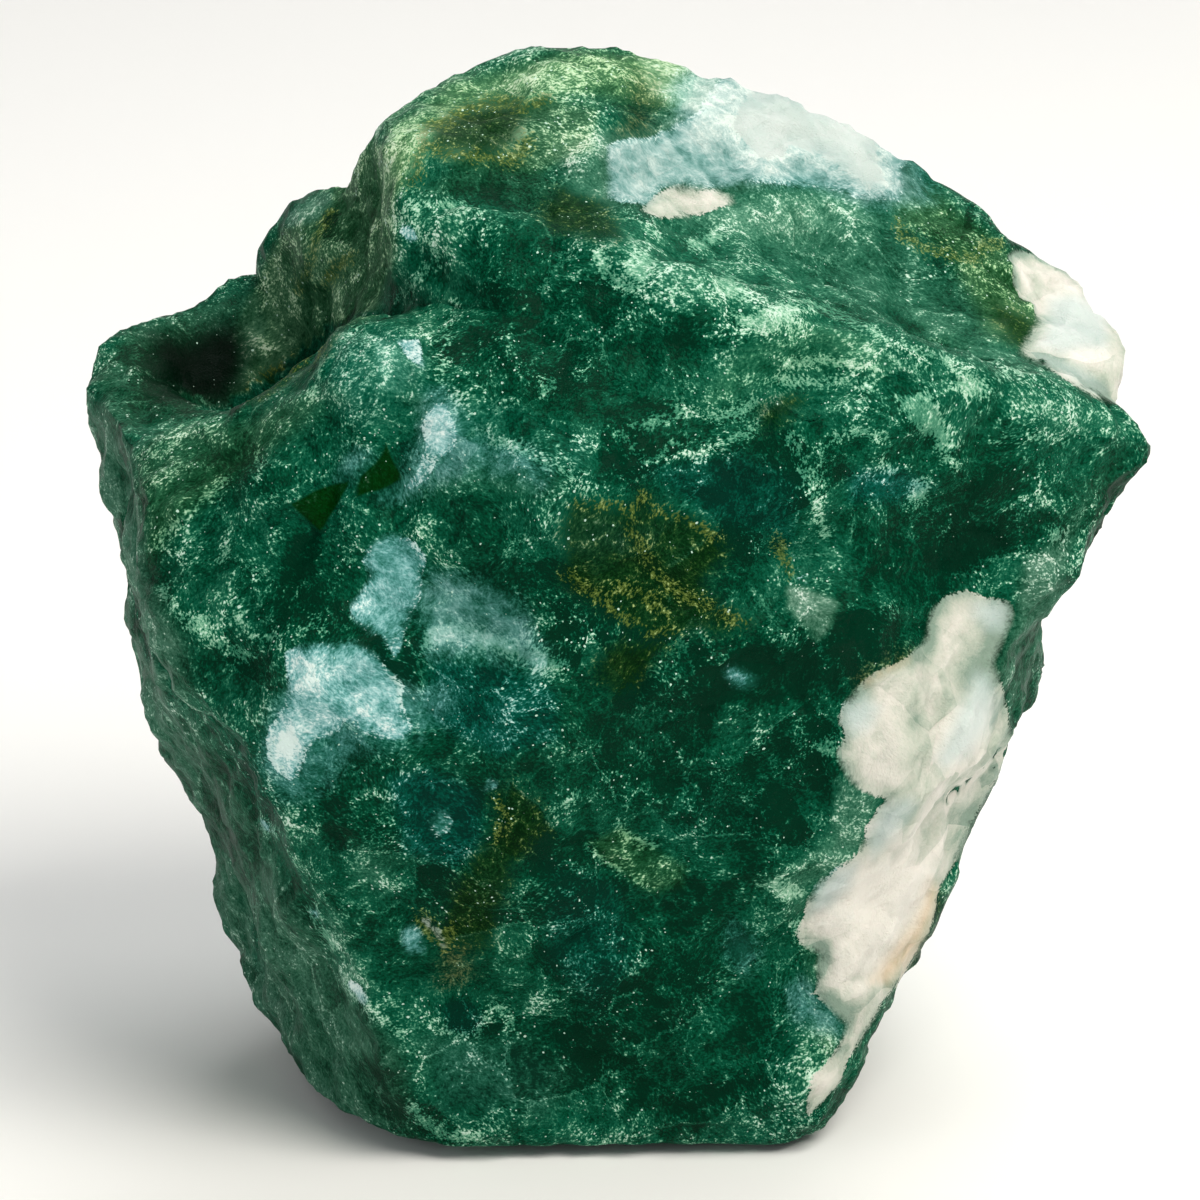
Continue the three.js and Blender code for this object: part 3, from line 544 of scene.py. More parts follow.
SEAMS = (
    # The knob all round.
    Seam(Mineral.QUARTZ, ((26.0, 5.0, 46.0, 3.0), (27.8, 1.5, 44.4, 3.6), (28.6, -1.0, 43.0, 2.6))),
    Seam(Mineral.HAZE, ((24.0, 8.0, 45.0, 2.4), (26.0, 11.0, 40.0, 1.8))),
    Seam(Mineral.MILK, ((24.0, 8.0, 45.0, 1.4), (26.0, 11.0, 40.0, 0.6))),
    # The inside of the big vein, where its two bulges meet.
    Seam(Mineral.QUARTZ, ((20.0, -13.0, 26.0, 2.4), (19.4, -11.6, 21.0, 2.6), (17.4, -12.4, 17.0, 2.4))),
    # A vein over the back, from the top down to the foot.
    Seam(Mineral.QUARTZ, ((9.0, 17.0, 46.0, 1.4), (5.0, 21.0, 37.0, 2.6), (3.0, 22.5, 28.0, 4.6))),
    Seam(Mineral.QUARTZ, ((3.0, 22.5, 28.0, 4.2), (-3.0, 21.0, 20.0, 3.0), (-5.0, 19.0, 10.0, 1.6))),
    Seam(Mineral.HAZE, ((-6.0, 21.0, 27.0, 2.8), (-12.0, 18.0, 32.0, 3.4), (-16.0, 14.0, 38.0, 2.2))),
    Seam(Mineral.MILK, ((-6.0, 21.0, 27.0, 1.2), (-12.0, 18.0, 32.0, 2.2), (-16.0, 14.0, 38.0, 0.6))),
    Seam(Mineral.HAZE, ((14.0, 19.0, 30.0, 2.4), (18.0, 16.0, 22.0, 3.2), (19.0, 13.0, 14.0, 2.0))),
    Seam(Mineral.MILK, ((14.0, 19.0, 30.0, 0.8), (18.0, 16.0, 22.0, 1.8), (19.0, 13.0, 14.0, 0.4))),
    Seam(Mineral.MOSS, ((-20.0, 10.0, 24.0, 2.4), (-17.0, 14.0, 18.0, 3.2), (-12.0, 15.0, 12.0, 2.2))),
    Seam(Mineral.MOSS, ((20.0, 12.0, 34.0, 1.6), (24.0, 8.0, 28.0, 2.6))),
    # Veils and moss on the left and right faces.
    Seam(Mineral.HAZE, ((-25.0, 10.0, 22.0, 1.8), (-22.0, 12.0, 16.0, 2.6), (-18.0, 12.0, 9.0, 2.0))),
    Seam(Mineral.MILK, ((-25.0, 10.0, 22.0, 0.6), (-22.0, 12.0, 16.0, 1.2), (-18.0, 12.0, 9.0, 0.4))),
    Seam(Mineral.MOSS, ((-26.0, 4.0, 34.0, 2.2), (-25.0, 8.0, 29.0, 2.6))),
    Seam(Mineral.QUARTZ, ((22.0, -2.0, 20.0, 1.2), (21.0, 3.0, 14.0, 2.4), (17.0, 6.0, 8.0, 1.4))),
)

@dataclass(frozen=True)
class PhotoView:
    """The photograph's viewpoint, for the camera and for the marks that were read off the picture.

    Attributes:
        elevation_deg: how far above level it looks down from.
        distance_mm: from the camera to what it looks at.
        mm_per_px: how much one pixel takes in at that distance.
        side_px: the width and height of the picture.
        target_mm: the point in the middle of the picture.
    """

    elevation_deg: float = 18.0
    distance_mm: float = 380.0
    mm_per_px: float = 62.0 / 1055.0
    side_px: int = 1200
    target_mm: tuple[float, float, float] = (-0.85, -1.2, 29.3)

    def back(self) -> Vector:
        """The direction from the stone to the camera."""
        tilt = math.radians(self.elevation_deg)
        return Vector((0.0, -math.cos(tilt), math.sin(tilt)))

    def up(self) -> Vector:
        """The direction that points up in the picture."""
        tilt = math.radians(self.elevation_deg)
        return Vector((0.0, math.sin(tilt), math.cos(tilt)))

    def pixels(self, points: np.ndarray) -> tuple[np.ndarray, np.ndarray]:
        """Finds where points of the stone are in the picture.

        Args:
            points: an array of points, in millimetres.

        Returns:
            Their pixels, and how many millimetres from the camera they are.
        """
        away = points - np.array(self.target_mm)
        depth = self.distance_mm - away @ np.array(self.back())
        scale = self.distance_mm / (depth * self.mm_per_px)
        across = self.side_px / 2 + away[:, 0] * scale
        down = self.side_px / 2 - (away @ np.array(self.up())) * scale
        return np.stack([across, down], axis=1), depth

    def behind(self, pixels: np.ndarray, depth: np.ndarray, cell_px: float = 12.0) -> np.ndarray:
        """Finds how far points lie behind the surface that the camera sees.

        Args:
            pixels: where the points are in the picture.
            depth: how far from the camera they are, in millimetres.
            cell_px: the size of the squares that the nearest point is sought in.

        Returns:
            The distance in millimetres, about 0 for what the photograph shows.
        """
        cells = np.clip(pixels // cell_px, 0, self.side_px // cell_px - 1).astype(int)
        across = int(self.side_px // cell_px)
        at = cells[:, 0] + across * cells[:, 1]
        nearest = np.full(across * across, np.inf)
        np.minimum.at(nearest, at, depth)
        return depth - nearest[at]


def outline_depth(at: np.ndarray, corners: np.ndarray, closed: bool) -> np.ndarray:
    """Measures how far places lie inside an outline, or how far they are from a line.

    Args:
        at: the places, in pixels.
        corners: the outline's corners or the line's points, in order.
        closed: whether the last corner joins the first.

    Returns:
        The distance to the edge: more than 0 inside a closed outline, and less than 0 everywhere else.
    """
    ends = np.roll(corners, -1, axis=0) if closed else corners[1:]
    nearest = np.full(len(at), np.inf)
    inside = np.zeros(len(at), bool)
    for start, end in zip(corners, ends):
        along = end - start
        share = np.clip((at - start) @ along / max(along @ along, 1e-9), 0.0, 1.0)
        nearest = np.minimum(nearest, np.linalg.norm(at - start - share[:, None] * along, axis=1))
        crosses = (start[1] > at[:, 1]) != (end[1] > at[:, 1])
        if start[1] != end[1]:
            reach = start[0] + along[0] * (at[:, 1] - start[1]) / along[1]
            inside ^= crosses & (at[:, 0] < reach)
    return np.where(inside, nearest, -nearest) if closed else -nearest

def add_node(
    tree: bpy.types.NodeTree,
    kind: str,
    inputs: dict | None = None,
    stops: dict[float, str] | None = None,
    **settings: object,
) -> bpy.types.Node:
    """Adds one node to a tree, with its settings and links.

    Args:
        tree: the tree that gets the node.
        kind: the node's type name.
        inputs: what goes in each socket, by identifier: a socket to link, or a value to set.
        stops: for a colour ramp, the sRGB hex colour at each place along it.
        **settings: the node's own options.

    Returns:
        The new node.
    """
    node = tree.nodes.new(kind)
    for name, value in settings.items():
        setattr(node, name, value)
    sockets = {socket.identifier: socket for socket in node.inputs}
    for name, value in (inputs or {}).items():
        if isinstance(value, bpy.types.NodeSocket):
            tree.links.new(value, sockets[name])
        else:
            sockets[name].default_value = value
    if stops:
        elements = node.color_ramp.elements
        places = sorted(stops)
        while len(elements) < len(places):
            elements.new(1.0)
        for element, place in zip(elements, places):
            element.position = place
            element.color = linear(stops[place])
    return node


@dataclass
class Ground:
    """The tree that a finish is drawn in, with the patterns that every part of it reads.

    Attributes:
        tree: the node tree.
        facet_mm: about how wide the facets of the break are.
        flake_mm: about how wide the flakes on the facets are.
        grain_mm: the widest lumps of the grain. Its finest are a quarter of that.
        streak: how much of its width the grain loses across the streaks, from 0 to 1.
        web_mm: about how far apart the lines of the web lie.
    """

    tree: bpy.types.NodeTree
    facet_mm: float = 4.2
    flake_mm: float = 1.3
    grain_mm: float = 0.16
    streak: float = 0.35
    web_mm: float = 1.0
    point: bpy.types.NodeSocket = field(init=False)
    facets: bpy.types.Node = field(init=False)
    flakes: bpy.types.Node = field(init=False)
    grain: bpy.types.NodeSocket = field(init=False)
    web: bpy.types.NodeSocket = field(init=False)
    read: dict[str, bpy.types.NodeSocket] = field(init=False, default_factory=dict)

    def __post_init__(self) -> None:
        """Adds the shared patterns."""
        here = add_node(self.tree, "ShaderNodeTexCoord").outputs["Object"]
        drift = add_node(self.tree, "ShaderNodeAttribute", attribute_name="drift").outputs["Vector"]
        self.point = add_node(
            self.tree,
            "ShaderNodeVectorMath",
            {"Vector": here, "Vector_001": (1 / MM,) * 3, "Vector_002": drift},
            operation="MULTIPLY_ADD",
        ).outputs["Vector"]
        self.facets = self.cells(self.facet_mm)
        self.flakes = self.cells(self.flake_mm)
        grain = add_node(
            self.tree,
            "ShaderNodeTexNoise",
            {"Vector": self.streaked(), "Scale": 1 / self.grain_mm, "Detail": 1.0, "Roughness": 0.8},
        )
        self.grain = self.weigh(grain.outputs["Fac"], 0.86, 0.07)
        self.web = add_node(
            self.tree,
            "ShaderNodeTexNoise",
            {
                "Vector": self.point,
                "Scale": 1 / self.web_mm,
                "Detail": 3.0,
                "Roughness": 0.7,
                "Lacunarity": 2.3,
                "Offset": 1.0,
                "Gain": 1.2,
            },
            noise_type="RIDGED_MULTIFRACTAL",
        ).outputs["Fac"]

    def cells(self, width_mm: float, **settings: object) -> bpy.types.Node:
        """Cells of chance shapes, each about one width across."""
        return add_node(
            self.tree, "ShaderNodeTexVoronoi", {"Vector": self.point, "Scale": 1 / width_mm}, **settings
        )

    def vector(self, operation: str, *inputs: object) -> bpy.types.NodeSocket:
        """The result of one operation on vectors."""
        names = ("Vector", "Vector_001", "Vector_002")
        node = add_node(self.tree, "ShaderNodeVectorMath", dict(zip(names, inputs)), operation=operation)
        return node.outputs["Value" if operation == "DOT_PRODUCT" else "Vector"]

    def streaked(self) -> bpy.types.NodeSocket:
        """The point, drawn out along another direction in each facet, so that the grain runs in streaks.

        Returns:
            The drawn-out point.
        """
        chance = self.facets.outputs["Color"]
        run = self.vector("NORMALIZE", self.vector("SUBTRACT", chance, (0.5, 0.5, 0.5)))
        inside = self.vector("SUBTRACT", self.point, self.facets.outputs["Position"])
        along = self.weigh(self.vector("DOT_PRODUCT", inside, run), -self.streak, 0.0)
        inside = self.vector("MULTIPLY_ADD", run, along, inside)
        return self.vector("MULTIPLY_ADD", chance, (40.0, 40.0, 40.0), inside)

    def attribute(self, name: str) -> bpy.types.NodeSocket:
        """The value of one of the mesh's own attributes, read once for all that use it."""
        if name not in self.read:
            self.read[name] = add_node(self.tree, "ShaderNodeAttribute", attribute_name=name).outputs["Fac"]
        return self.read[name]

    def weigh(
        self, value: bpy.types.NodeSocket, times: bpy.types.NodeSocket | float, plus: bpy.types.NodeSocket | float
    ) -> bpy.types.NodeSocket:
        """One value times another, plus a third."""
        node = add_node(
            self.tree,
            "ShaderNodeMath",
            {"Value": value, "Value_001": times, "Value_002": plus},
            operation="MULTIPLY_ADD",
        )
        return node.outputs["Value"]

    def rise(self, value: bpy.types.NodeSocket, low: float, high: float, top: float = 1.0) -> bpy.types.NodeSocket:
        """A smooth rise from 0 to a top value as a socket goes from low to high."""
        node = add_node(
            self.tree,
            "ShaderNodeMapRange",
            {"Value": value, "From Min": low, "From Max": high, "To Max": top},
            interpolation_type="SMOOTHSTEP",
        )
        return node.outputs["Result"]

    def ramp(self, value: bpy.types.NodeSocket, stops: dict[float, str]) -> bpy.types.NodeSocket:
        """A colour that changes with a socket's value."""
        return add_node(self.tree, "ShaderNodeValToRGB", {"Fac": value}, stops=stops).outputs["Color"]

    def mix(self, share: bpy.types.NodeSocket, under: object, over: object) -> bpy.types.NodeSocket:
        """One colour laid over another."""
        node = add_node(
            self.tree,
            "ShaderNodeMix",
            {"Factor_Float": share, "A_Color": under, "B_Color": over},
            data_type="RGBA",
        )
        return node.outputs[2]

    def blend(self, share: bpy.types.NodeSocket, under: float, over: float) -> bpy.types.NodeSocket:
        """One number laid over another."""
        return self.weigh(share, over - under, under)

    def depth(self, mineral: Mineral, ragged_mm: float) -> bpy.types.NodeSocket:
        """How deep the stone lies in a mineral here, in millimetres, with the mineral's edge moved by the grain."""
        depth = self.weigh(self.web, 0.2 * ragged_mm, self.attribute(mineral.value))
        return self.weigh(self.grain, 2.0 * ragged_mm, self.weigh(depth, 1.0, -1.2 * ragged_mm))

    def patch(self, depth: bpy.types.NodeSocket, crisp_mm: float, soft_mm: float, top: float) -> bpy.types.NodeSocket:
        """Turns the depth in a mineral into a patch whose edge is crisp in places and fades out in others.

        Args:
            depth: how deep the stone lies in the mineral.
            crisp_mm: the width of the edge where it is crisp.
            soft_mm: the width of the edge where it fades.
            top: how much of the patch shows at its middle.

        Returns:
            A socket that is 0 out of the patch.
        """
        steep = self.blend(self.rise(self.attribute("cloud"), 0.4, 0.62), 1 / soft_mm, 1 / crisp_mm)
        return self.rise(self.weigh(depth, steep, 0.0), -0.3, 0.7, top)

    def mask(self, mineral: Mineral, edge_mm: float, ragged_mm: float, top: float = 1.0) -> bpy.types.NodeSocket:
        """Turns the depth in a mineral into a patch with a ragged edge.

        Args:
            mineral: which depth to read.
            edge_mm: half the width of the patch's edge.
            ragged_mm: how far the grain moves the edge.
            top: how much of the patch shows at its middle.

        Returns:
            A socket that is 0 out of the patch.
        """
        return self.rise(self.depth(mineral, ragged_mm), -edge_mm, edge_mm, top)


@dataclass(frozen=True)
class GreenChalcedony:
    """Chalcedony, coloured green, broken and never polished: waxy to glassy, dark where it is thick and clean.

    Where the break crushed its grain it is paler, in specks and threads, up to nearly white. The edges of its facets
    are lightened too, as painted glints.
    """

    facet_share: float = 0.24
    edge_glint_share: float = 0.3
    places: tuple[float, ...] = (0.0, 0.12, 0.25, 0.42, 0.58, 0.76, 1.0)
    green: tuple[str, ...] = ("#002a1a", "#003f29", "#08513a", "#266b50", "#4c8c6f", "#82b697", "#c4e0cd")
    teal: tuple[str, ...] = ("#002e24", "#004536", "#065447", "#296e64", "#4e8e84", "#85bab0", "#c2ded8")
    olive: tuple[str, ...] = ("#08280e", "#14411e", "#275431", "#437248", "#699665", "#9cc28f", "#d0e6c0")
    dull: tuple[str, ...] = ("#0a3020", "#1a4a35", "#2f5e48", "#4b7762", "#6f9681", "#9dbaa8", "#cdded2")

    def colour(self, ground: Ground) -> bpy.types.NodeSocket:
        """The bare green stone.

        Args:
            ground: the tree and its patterns.

        Returns:
            The colour.
        """
        tone = ground.weigh(ground.attribute("tone"), 0.8, -0.4)
        tone = ground.weigh(ground.web, 0.07, ground.weigh(ground.grain, 0.7, tone))
        crushed = ground.weigh(ground.grain, 1.9, ground.weigh(ground.web, 0.18, ground.attribute("grit")))
        tone = self.lightened(ground, tone, ground.rise(crushed, 1.6, 2.2, 0.75), 0.92)
        tone = self.lightened(ground, tone, ground.mask(Mineral.CRUSHED, 0.2, 1.0, 0.5), 0.8)
        tone = ground.weigh(ground.rise(ground.web, 1.85, 2.3), 0.12, tone)
        tone = ground.weigh(ground.facets.outputs["Color"], self.facet_share, tone)
        # Painted glints: the stone is lightened along the edges of the facets, as if they caught the light.
        edge = ground.cells(ground.facet_mm, feature="DISTANCE_TO_EDGE").outputs["Distance"]
        near = ground.rise(ground.weigh(ground.grain, -0.16, edge), -0.04, -0.1)
        here = ground.rise(ground.attribute("cloud"), 0.4, 0.6, self.edge_glint_share)
        tone = ground.weigh(near, here, tone)
        kinds = [
            ground.ramp(tone, dict(zip(self.places, kind)))
            for kind in (self.green, self.teal, self.olive, self.dull)
        ]
        hue = ground.attribute("hue")
        colour = ground.mix(ground.rise(hue, 0.0, -1.0), kinds[0], kinds[1])
        colour = ground.mix(ground.rise(hue, 0.0, 1.0), colour, kinds[2])
        return ground.mix(ground.attribute("dullness"), colour, kinds[3])

    @staticmethod
    def lightened(
        ground: Ground, tone: bpy.types.NodeSocket, share: bpy.types.NodeSocket, light: float
    ) -> bpy.types.NodeSocket:
        """The tone, brought a share of the way to a light one."""
        return ground.weigh(share, ground.weigh(tone, -1.0, light), tone)


@dataclass(frozen=True)
class Moss:
    """Chlorite and iron oxide, grown in the stone like moss: darkest green to brown, with pale threads."""

    moss: tuple[str, ...] = ("#021f02", "#0c2e08", "#223f12", "#56703a")
    thread: tuple[str, ...] = ("#203a0c", "#627434", "#b4c684")
    rust: tuple[str, ...] = ("#1a2a0c", "#42431c", "#86804c")
    # Painted shade, nearly black, for the hollow under the crown.
    painted_hollow_shade: str = "#000c04"

    def lay(self, ground: Ground, colour: bpy.types.NodeSocket) -> bpy.types.NodeSocket:
        """Lays the moss, its threads and its rust over a colour, with the painted shade that darkens the hollow.

        Args:
            ground: the tree and its patterns.
            colour: the colour below.

        Returns:
            The colour with its moss.
        """
        rough = ground.weigh(ground.web, 0.15, ground.weigh(ground.grain, 1.1, -0.25))
        body = ground.ramp(rough, dict(zip((0.36, 0.54, 0.7, 0.88), self.moss)))
        thread = ground.ramp(rough, dict(zip((0.42, 0.66, 0.92), self.thread)))
        body = ground.mix(ground.rise(ground.weigh(ground.grain, 2.0, ground.web), 2.9, 3.5, 0.5), body, thread)
        colour = ground.mix(ground.mask(Mineral.MOSS, 0.6, 1.0, 0.8), colour, body)
        colour = ground.mix(ground.mask(Mineral.THREAD, 0.16, 1.2, 0.7), colour, thread)
        rust = ground.ramp(rough, dict(zip((0.35, 0.5, 0.7), self.rust)))
        colour = ground.mix(ground.mask(Mineral.RUST, 0.8, 1.4, 0.4), colour, rust)
        # Painted shade over the hollow.
        return ground.mix(ground.mask(Mineral.PAINTED_HOLLOW_SHADE, 1.2, 0.6, 0.95), colour, linear(self.painted_hollow_shade))


@dataclass(frozen=True)
class MilkyVeil:
    """Chalcedony full of tiny fluid bubbles: a soft blue-white cloud under the surface, white where it is thick.

    Where it meets the green stone it breaks in a bright crumbled rim. Where it is thin it is only a haze.
    """

    places: tuple[float, ...] = (0.0, 0.2, 0.4, 0.6, 0.8, 1.0)
    veil: tuple[str, ...] = ("#135645", "#32756a", "#54938e", "#7db3b1", "#a6cecc", "#dbede8")
    dull: tuple[str, ...] = ("#1f4f45", "#48776f", "#6f9893", "#95b2ae", "#b4c8c3", "#d3dfd8")
    rim: str = "#cfe6df"

    def lay(self, ground: Ground, colour: bpy.types.NodeSocket) -> bpy.types.NodeSocket:
        """Draws the veils over a colour.

        Args:
            ground: the tree and its patterns.
            colour: the colour below.

        Returns:
            The colour with its veils.
        """
        depth = ground.depth(Mineral.MILK, 0.22)
        cloud = ground.attribute("cloud")
        smooth = ground.weigh(ground.attribute("dullness"), -0.6, 0.9)
        shade = ground.weigh(ground.weigh(ground.grain, 1.0, -0.5), smooth, ground.weigh(cloud, 0.5, -0.37))
        shade = ground.weigh(ground.flakes.outputs["Color"], 0.24, shade)
        shade = ground.weigh(ground.attribute("tone"), 0.8, ground.weigh(ground.web, 0.14, shade))
        colour = ground.mix(ground.mask(Mineral.HAZE, 0.8, 0.8, 0.65), colour, self.shaded(ground, shade))
        shade = ground.weigh(ground.rise(depth, -0.4, 1.0), 0.38, shade)
        shade = ground.weigh(ground.mask(Mineral.WHITE, 0.8, 0.5), 0.35, shade)
        colour = ground.mix(ground.patch(depth, 0.12, 0.7, 0.95), colour, self.shaded(ground, shade))
        inside = ground.rise(depth, 0.0, 0.12)
        fades = ground.rise(depth, 0.6, 0.15)
        bright = ground.rise(ground.weigh(cloud, 1.0, ground.weigh(ground.grain, 1.6, -0.8)), 0.55, 0.8, 0.7)
        rim = ground.weigh(ground.weigh(inside, fades, 0.0), bright, 0.0)
        return ground.mix(rim, colour, linear(self.rim))

    def shaded(self, ground: Ground, shade: bpy.types.NodeSocket) -> bpy.types.NodeSocket:
        """The veil's colour for a lightness, greyer where the stone is dull."""
        veil, dull = (ground.ramp(shade, dict(zip(self.places, kind))) for kind in (self.veil, self.dull))
        return ground.mix(ground.attribute("dullness"), veil, dull)


@dataclass(frozen=True)
class ClearWindow:
    """Clean chalcedony that the light goes straight into, so it shows nearly black-green."""

    dark: tuple[str, ...] = ("#002400", "#003004")

    def lay(self, ground: Ground, colour: bpy.types.NodeSocket) -> bpy.types.NodeSocket:
        """Opens the windows in a colour.

        Args:
            ground: the tree and its patterns.
            colour: the colour around them.

        Returns:
            The colour with its windows.
        """
        inside = ground.ramp(ground.grain, dict(zip((0.4, 0.65), self.dark)))
        return ground.mix(ground.mask(Mineral.GLASS, 0.1, 0.08, 0.93), colour, inside)


@dataclass(frozen=True)
class QuartzSugarAndGlints:
    """Single broken quartz crystals in the crushed stone: small bright specks, thick on the ridges, that also stand
    in as painted glints.
    """

    colour: str = "#c6e6d4"
    crystal_mm: float = 0.25

    def lay(self, ground: Ground, colour: bpy.types.NodeSocket) -> bpy.types.NodeSocket:
        """Strews the crystals over a colour, with their painted glints.

        Args:
            ground: the tree and its patterns.
            colour: the colour below.

        Returns:
            The colour with its specks.
        """
        crystals = ground.cells(self.crystal_mm)
        size = ground.weigh(ground.attribute("grit"), 0.35, ground.weigh(ground.attribute("cloud"), 0.3, -1.12))
        size = ground.weigh(ground.grain, 0.4, size)
        size = ground.weigh(crystals.outputs["Color"], 1.0, size)
        near = ground.weigh(crystals.outputs["Distance"], -1.0, size)
        return ground.mix(ground.rise(near, -0.02, 0.08, 0.8), colour, linear(self.colour))


@dataclass(frozen=True)
class MilkQuartz:
    """Milky vein quartz, broken: creamy white with cool grey facets and a warm stain, softly see-through."""

    cream: tuple[str, ...] = ("#84998a", "#b3bbad", "#cfcec4", "#e0ddd4")
    cool: str = "#bacac8"
    peach: str = "#d0b084"
    scattered: float = 0.45

    def lay(self, ground: Ground, colour: bpy.types.NodeSocket) -> bpy.types.NodeSocket:
        """Sets the quartz in a colour.

        Args:
            ground: the tree and its patterns.
            colour: the colour below.

        Returns:
            The colour with its quartz.
        """
        depth = ground.attribute("quartz")
        shade = ground.weigh(ground.attribute("cloud"), 0.5, -0.38)
        shade = ground.weigh(ground.rise(depth, 0.0, 1.5), 0.35, shade)
        shade = ground.weigh(ground.facets.outputs["Color"], 0.3, ground.weigh(ground.grain, 0.2, shade))
        shade = ground.weigh(ground.flakes.outputs["Color"], 0.14, shade)
        shade = ground.weigh(ground.attribute("tone"), 0.8, ground.weigh(ground.web, 0.03, shade))
        body = ground.ramp(shade, dict(zip((0.2, 0.4, 0.6, 0.85), self.cream)))
        # Cool grey facets: partly the quartz's own colour, partly painted shade.
        body = ground.mix(ground.rise(ground.attribute("milk"), -0.5, 0.8, 0.7), body, linear(self.cool))
        body = ground.mix(ground.rise(ground.attribute("rust"), -0.6, 0.8, 0.6), body, linear(self.peach))
        return ground.mix(self.mask(ground), colour, body)

    def glow(self, ground: Ground) -> bpy.types.NodeSocket:
        """How much of the light scatters inside: none outside the quartz."""
        return ground.rise(ground.attribute("quartz"), 0.0, 0.3, self.scattered)

    def mask(self, ground: Ground) -> bpy.types.NodeSocket:
        """Where the quartz is."""
        return ground.patch(ground.depth(Mineral.QUARTZ, 0.3), 0.12, 0.7, 1.0)


@dataclass(frozen=True)
class StoneFinish:
    """The whole stone's finish: its minerals laid one over another, with the tooth of a fresh break."""

    ior: float = 1.54
    roughness: float = 0.42
    scatter_mm: float = 1.4
    flake_tilt: float = 0.32
    facet_tilt: float = 0.2
    grain_height_mm: float = 0.09

    def material(self) -> bpy.types.Material:
        """Builds the material.

        Returns:
            The finished material.
        """
        material = bpy.data.materials.new("broken_moss_agate")
        material.use_nodes = True
        tree = material.node_tree
        tree.nodes.clear()
        ground = Ground(tree)
        quartz = MilkQuartz()
        colour = GreenChalcedony().colour(ground)
        colour = Moss().lay(ground, colour)
        colour = MilkyVeil().lay(ground, colour)
        colour = ClearWindow().lay(ground, colour)
        colour = QuartzSugarAndGlints().lay(ground, colour)
        colour = quartz.lay(ground, colour)
        glow = quartz.glow(ground)
        shader = add_node(
            tree,
            "ShaderNodeBsdfPrincipled",
            {
                "Base Color": colour,
                "Roughness": self.roughness,
                "IOR": self.ior,
                "Specular IOR Level": 0.02,
                "Subsurface Weight": glow,
                "Subsurface Radius": (0.8, 1.0, 0.9),
                "Subsurface Scale": self.scatter_mm * MM,
                "Normal": self.tooth(ground),
            },
        )
        add_node(tree, "ShaderNodeOutputMaterial", {"Surface": shader.outputs["BSDF"]})
        return material

    def tooth(self, ground: Ground) -> bpy.types.NodeSocket:
        """The fine relief of the break: flat facets that lean different ways, flakes on them, and grain.

        Args:
            ground: the tree and its patterns.

        Returns:
            The bent normal.
        """
        height = ground.weigh(ground.grain, self.grain_height_mm, 0.0)
        for cells, tilt in ((ground.flakes, self.flake_tilt), (ground.facets, self.facet_tilt)):
            inside = ground.vector("SUBTRACT", ground.point, cells.outputs["Position"])
            lean = ground.vector("SUBTRACT", cells.outputs["Color"], (0.5, 0.5, 0.5))
            height = ground.weigh(ground.vector("DOT_PRODUCT", inside, lean), tilt, height)
        bump = add_node(ground.tree, "ShaderNodeBump", {"Height": height, "Distance": MM, "Strength": 1.0})
        return bump.outputs["Normal"]

@dataclass(frozen=True)
class Facets:
    """One size of the hackly facets that the stone breaks into.

    Attributes:
        width_mm: about how wide a facet is.
        steepness: the most that one leans, as a slope.
    """

    width_mm: float
    steepness: float

    def height(self, point: Vector) -> float:
        """How far the facets stand up at a point.

        Args:
            point: a point of the stone, in millimetres.

        Returns:
            The height, in millimetres.
        """
        at = point / self.width_mm
        distances, middles = noise.voronoi(at)
        heights = [(at - middle).dot(noise.cell_vector(middle * 7.3) - HALF) for middle in middles[:2]]
        share = min((distances[1] - distances[0]) / 0.2, 1.0)
        near = 0.5 + 0.5 * share
        return self.width_mm * self.steepness * 2.0 * (near * heights[0] + (1.0 - near) * heights[1])


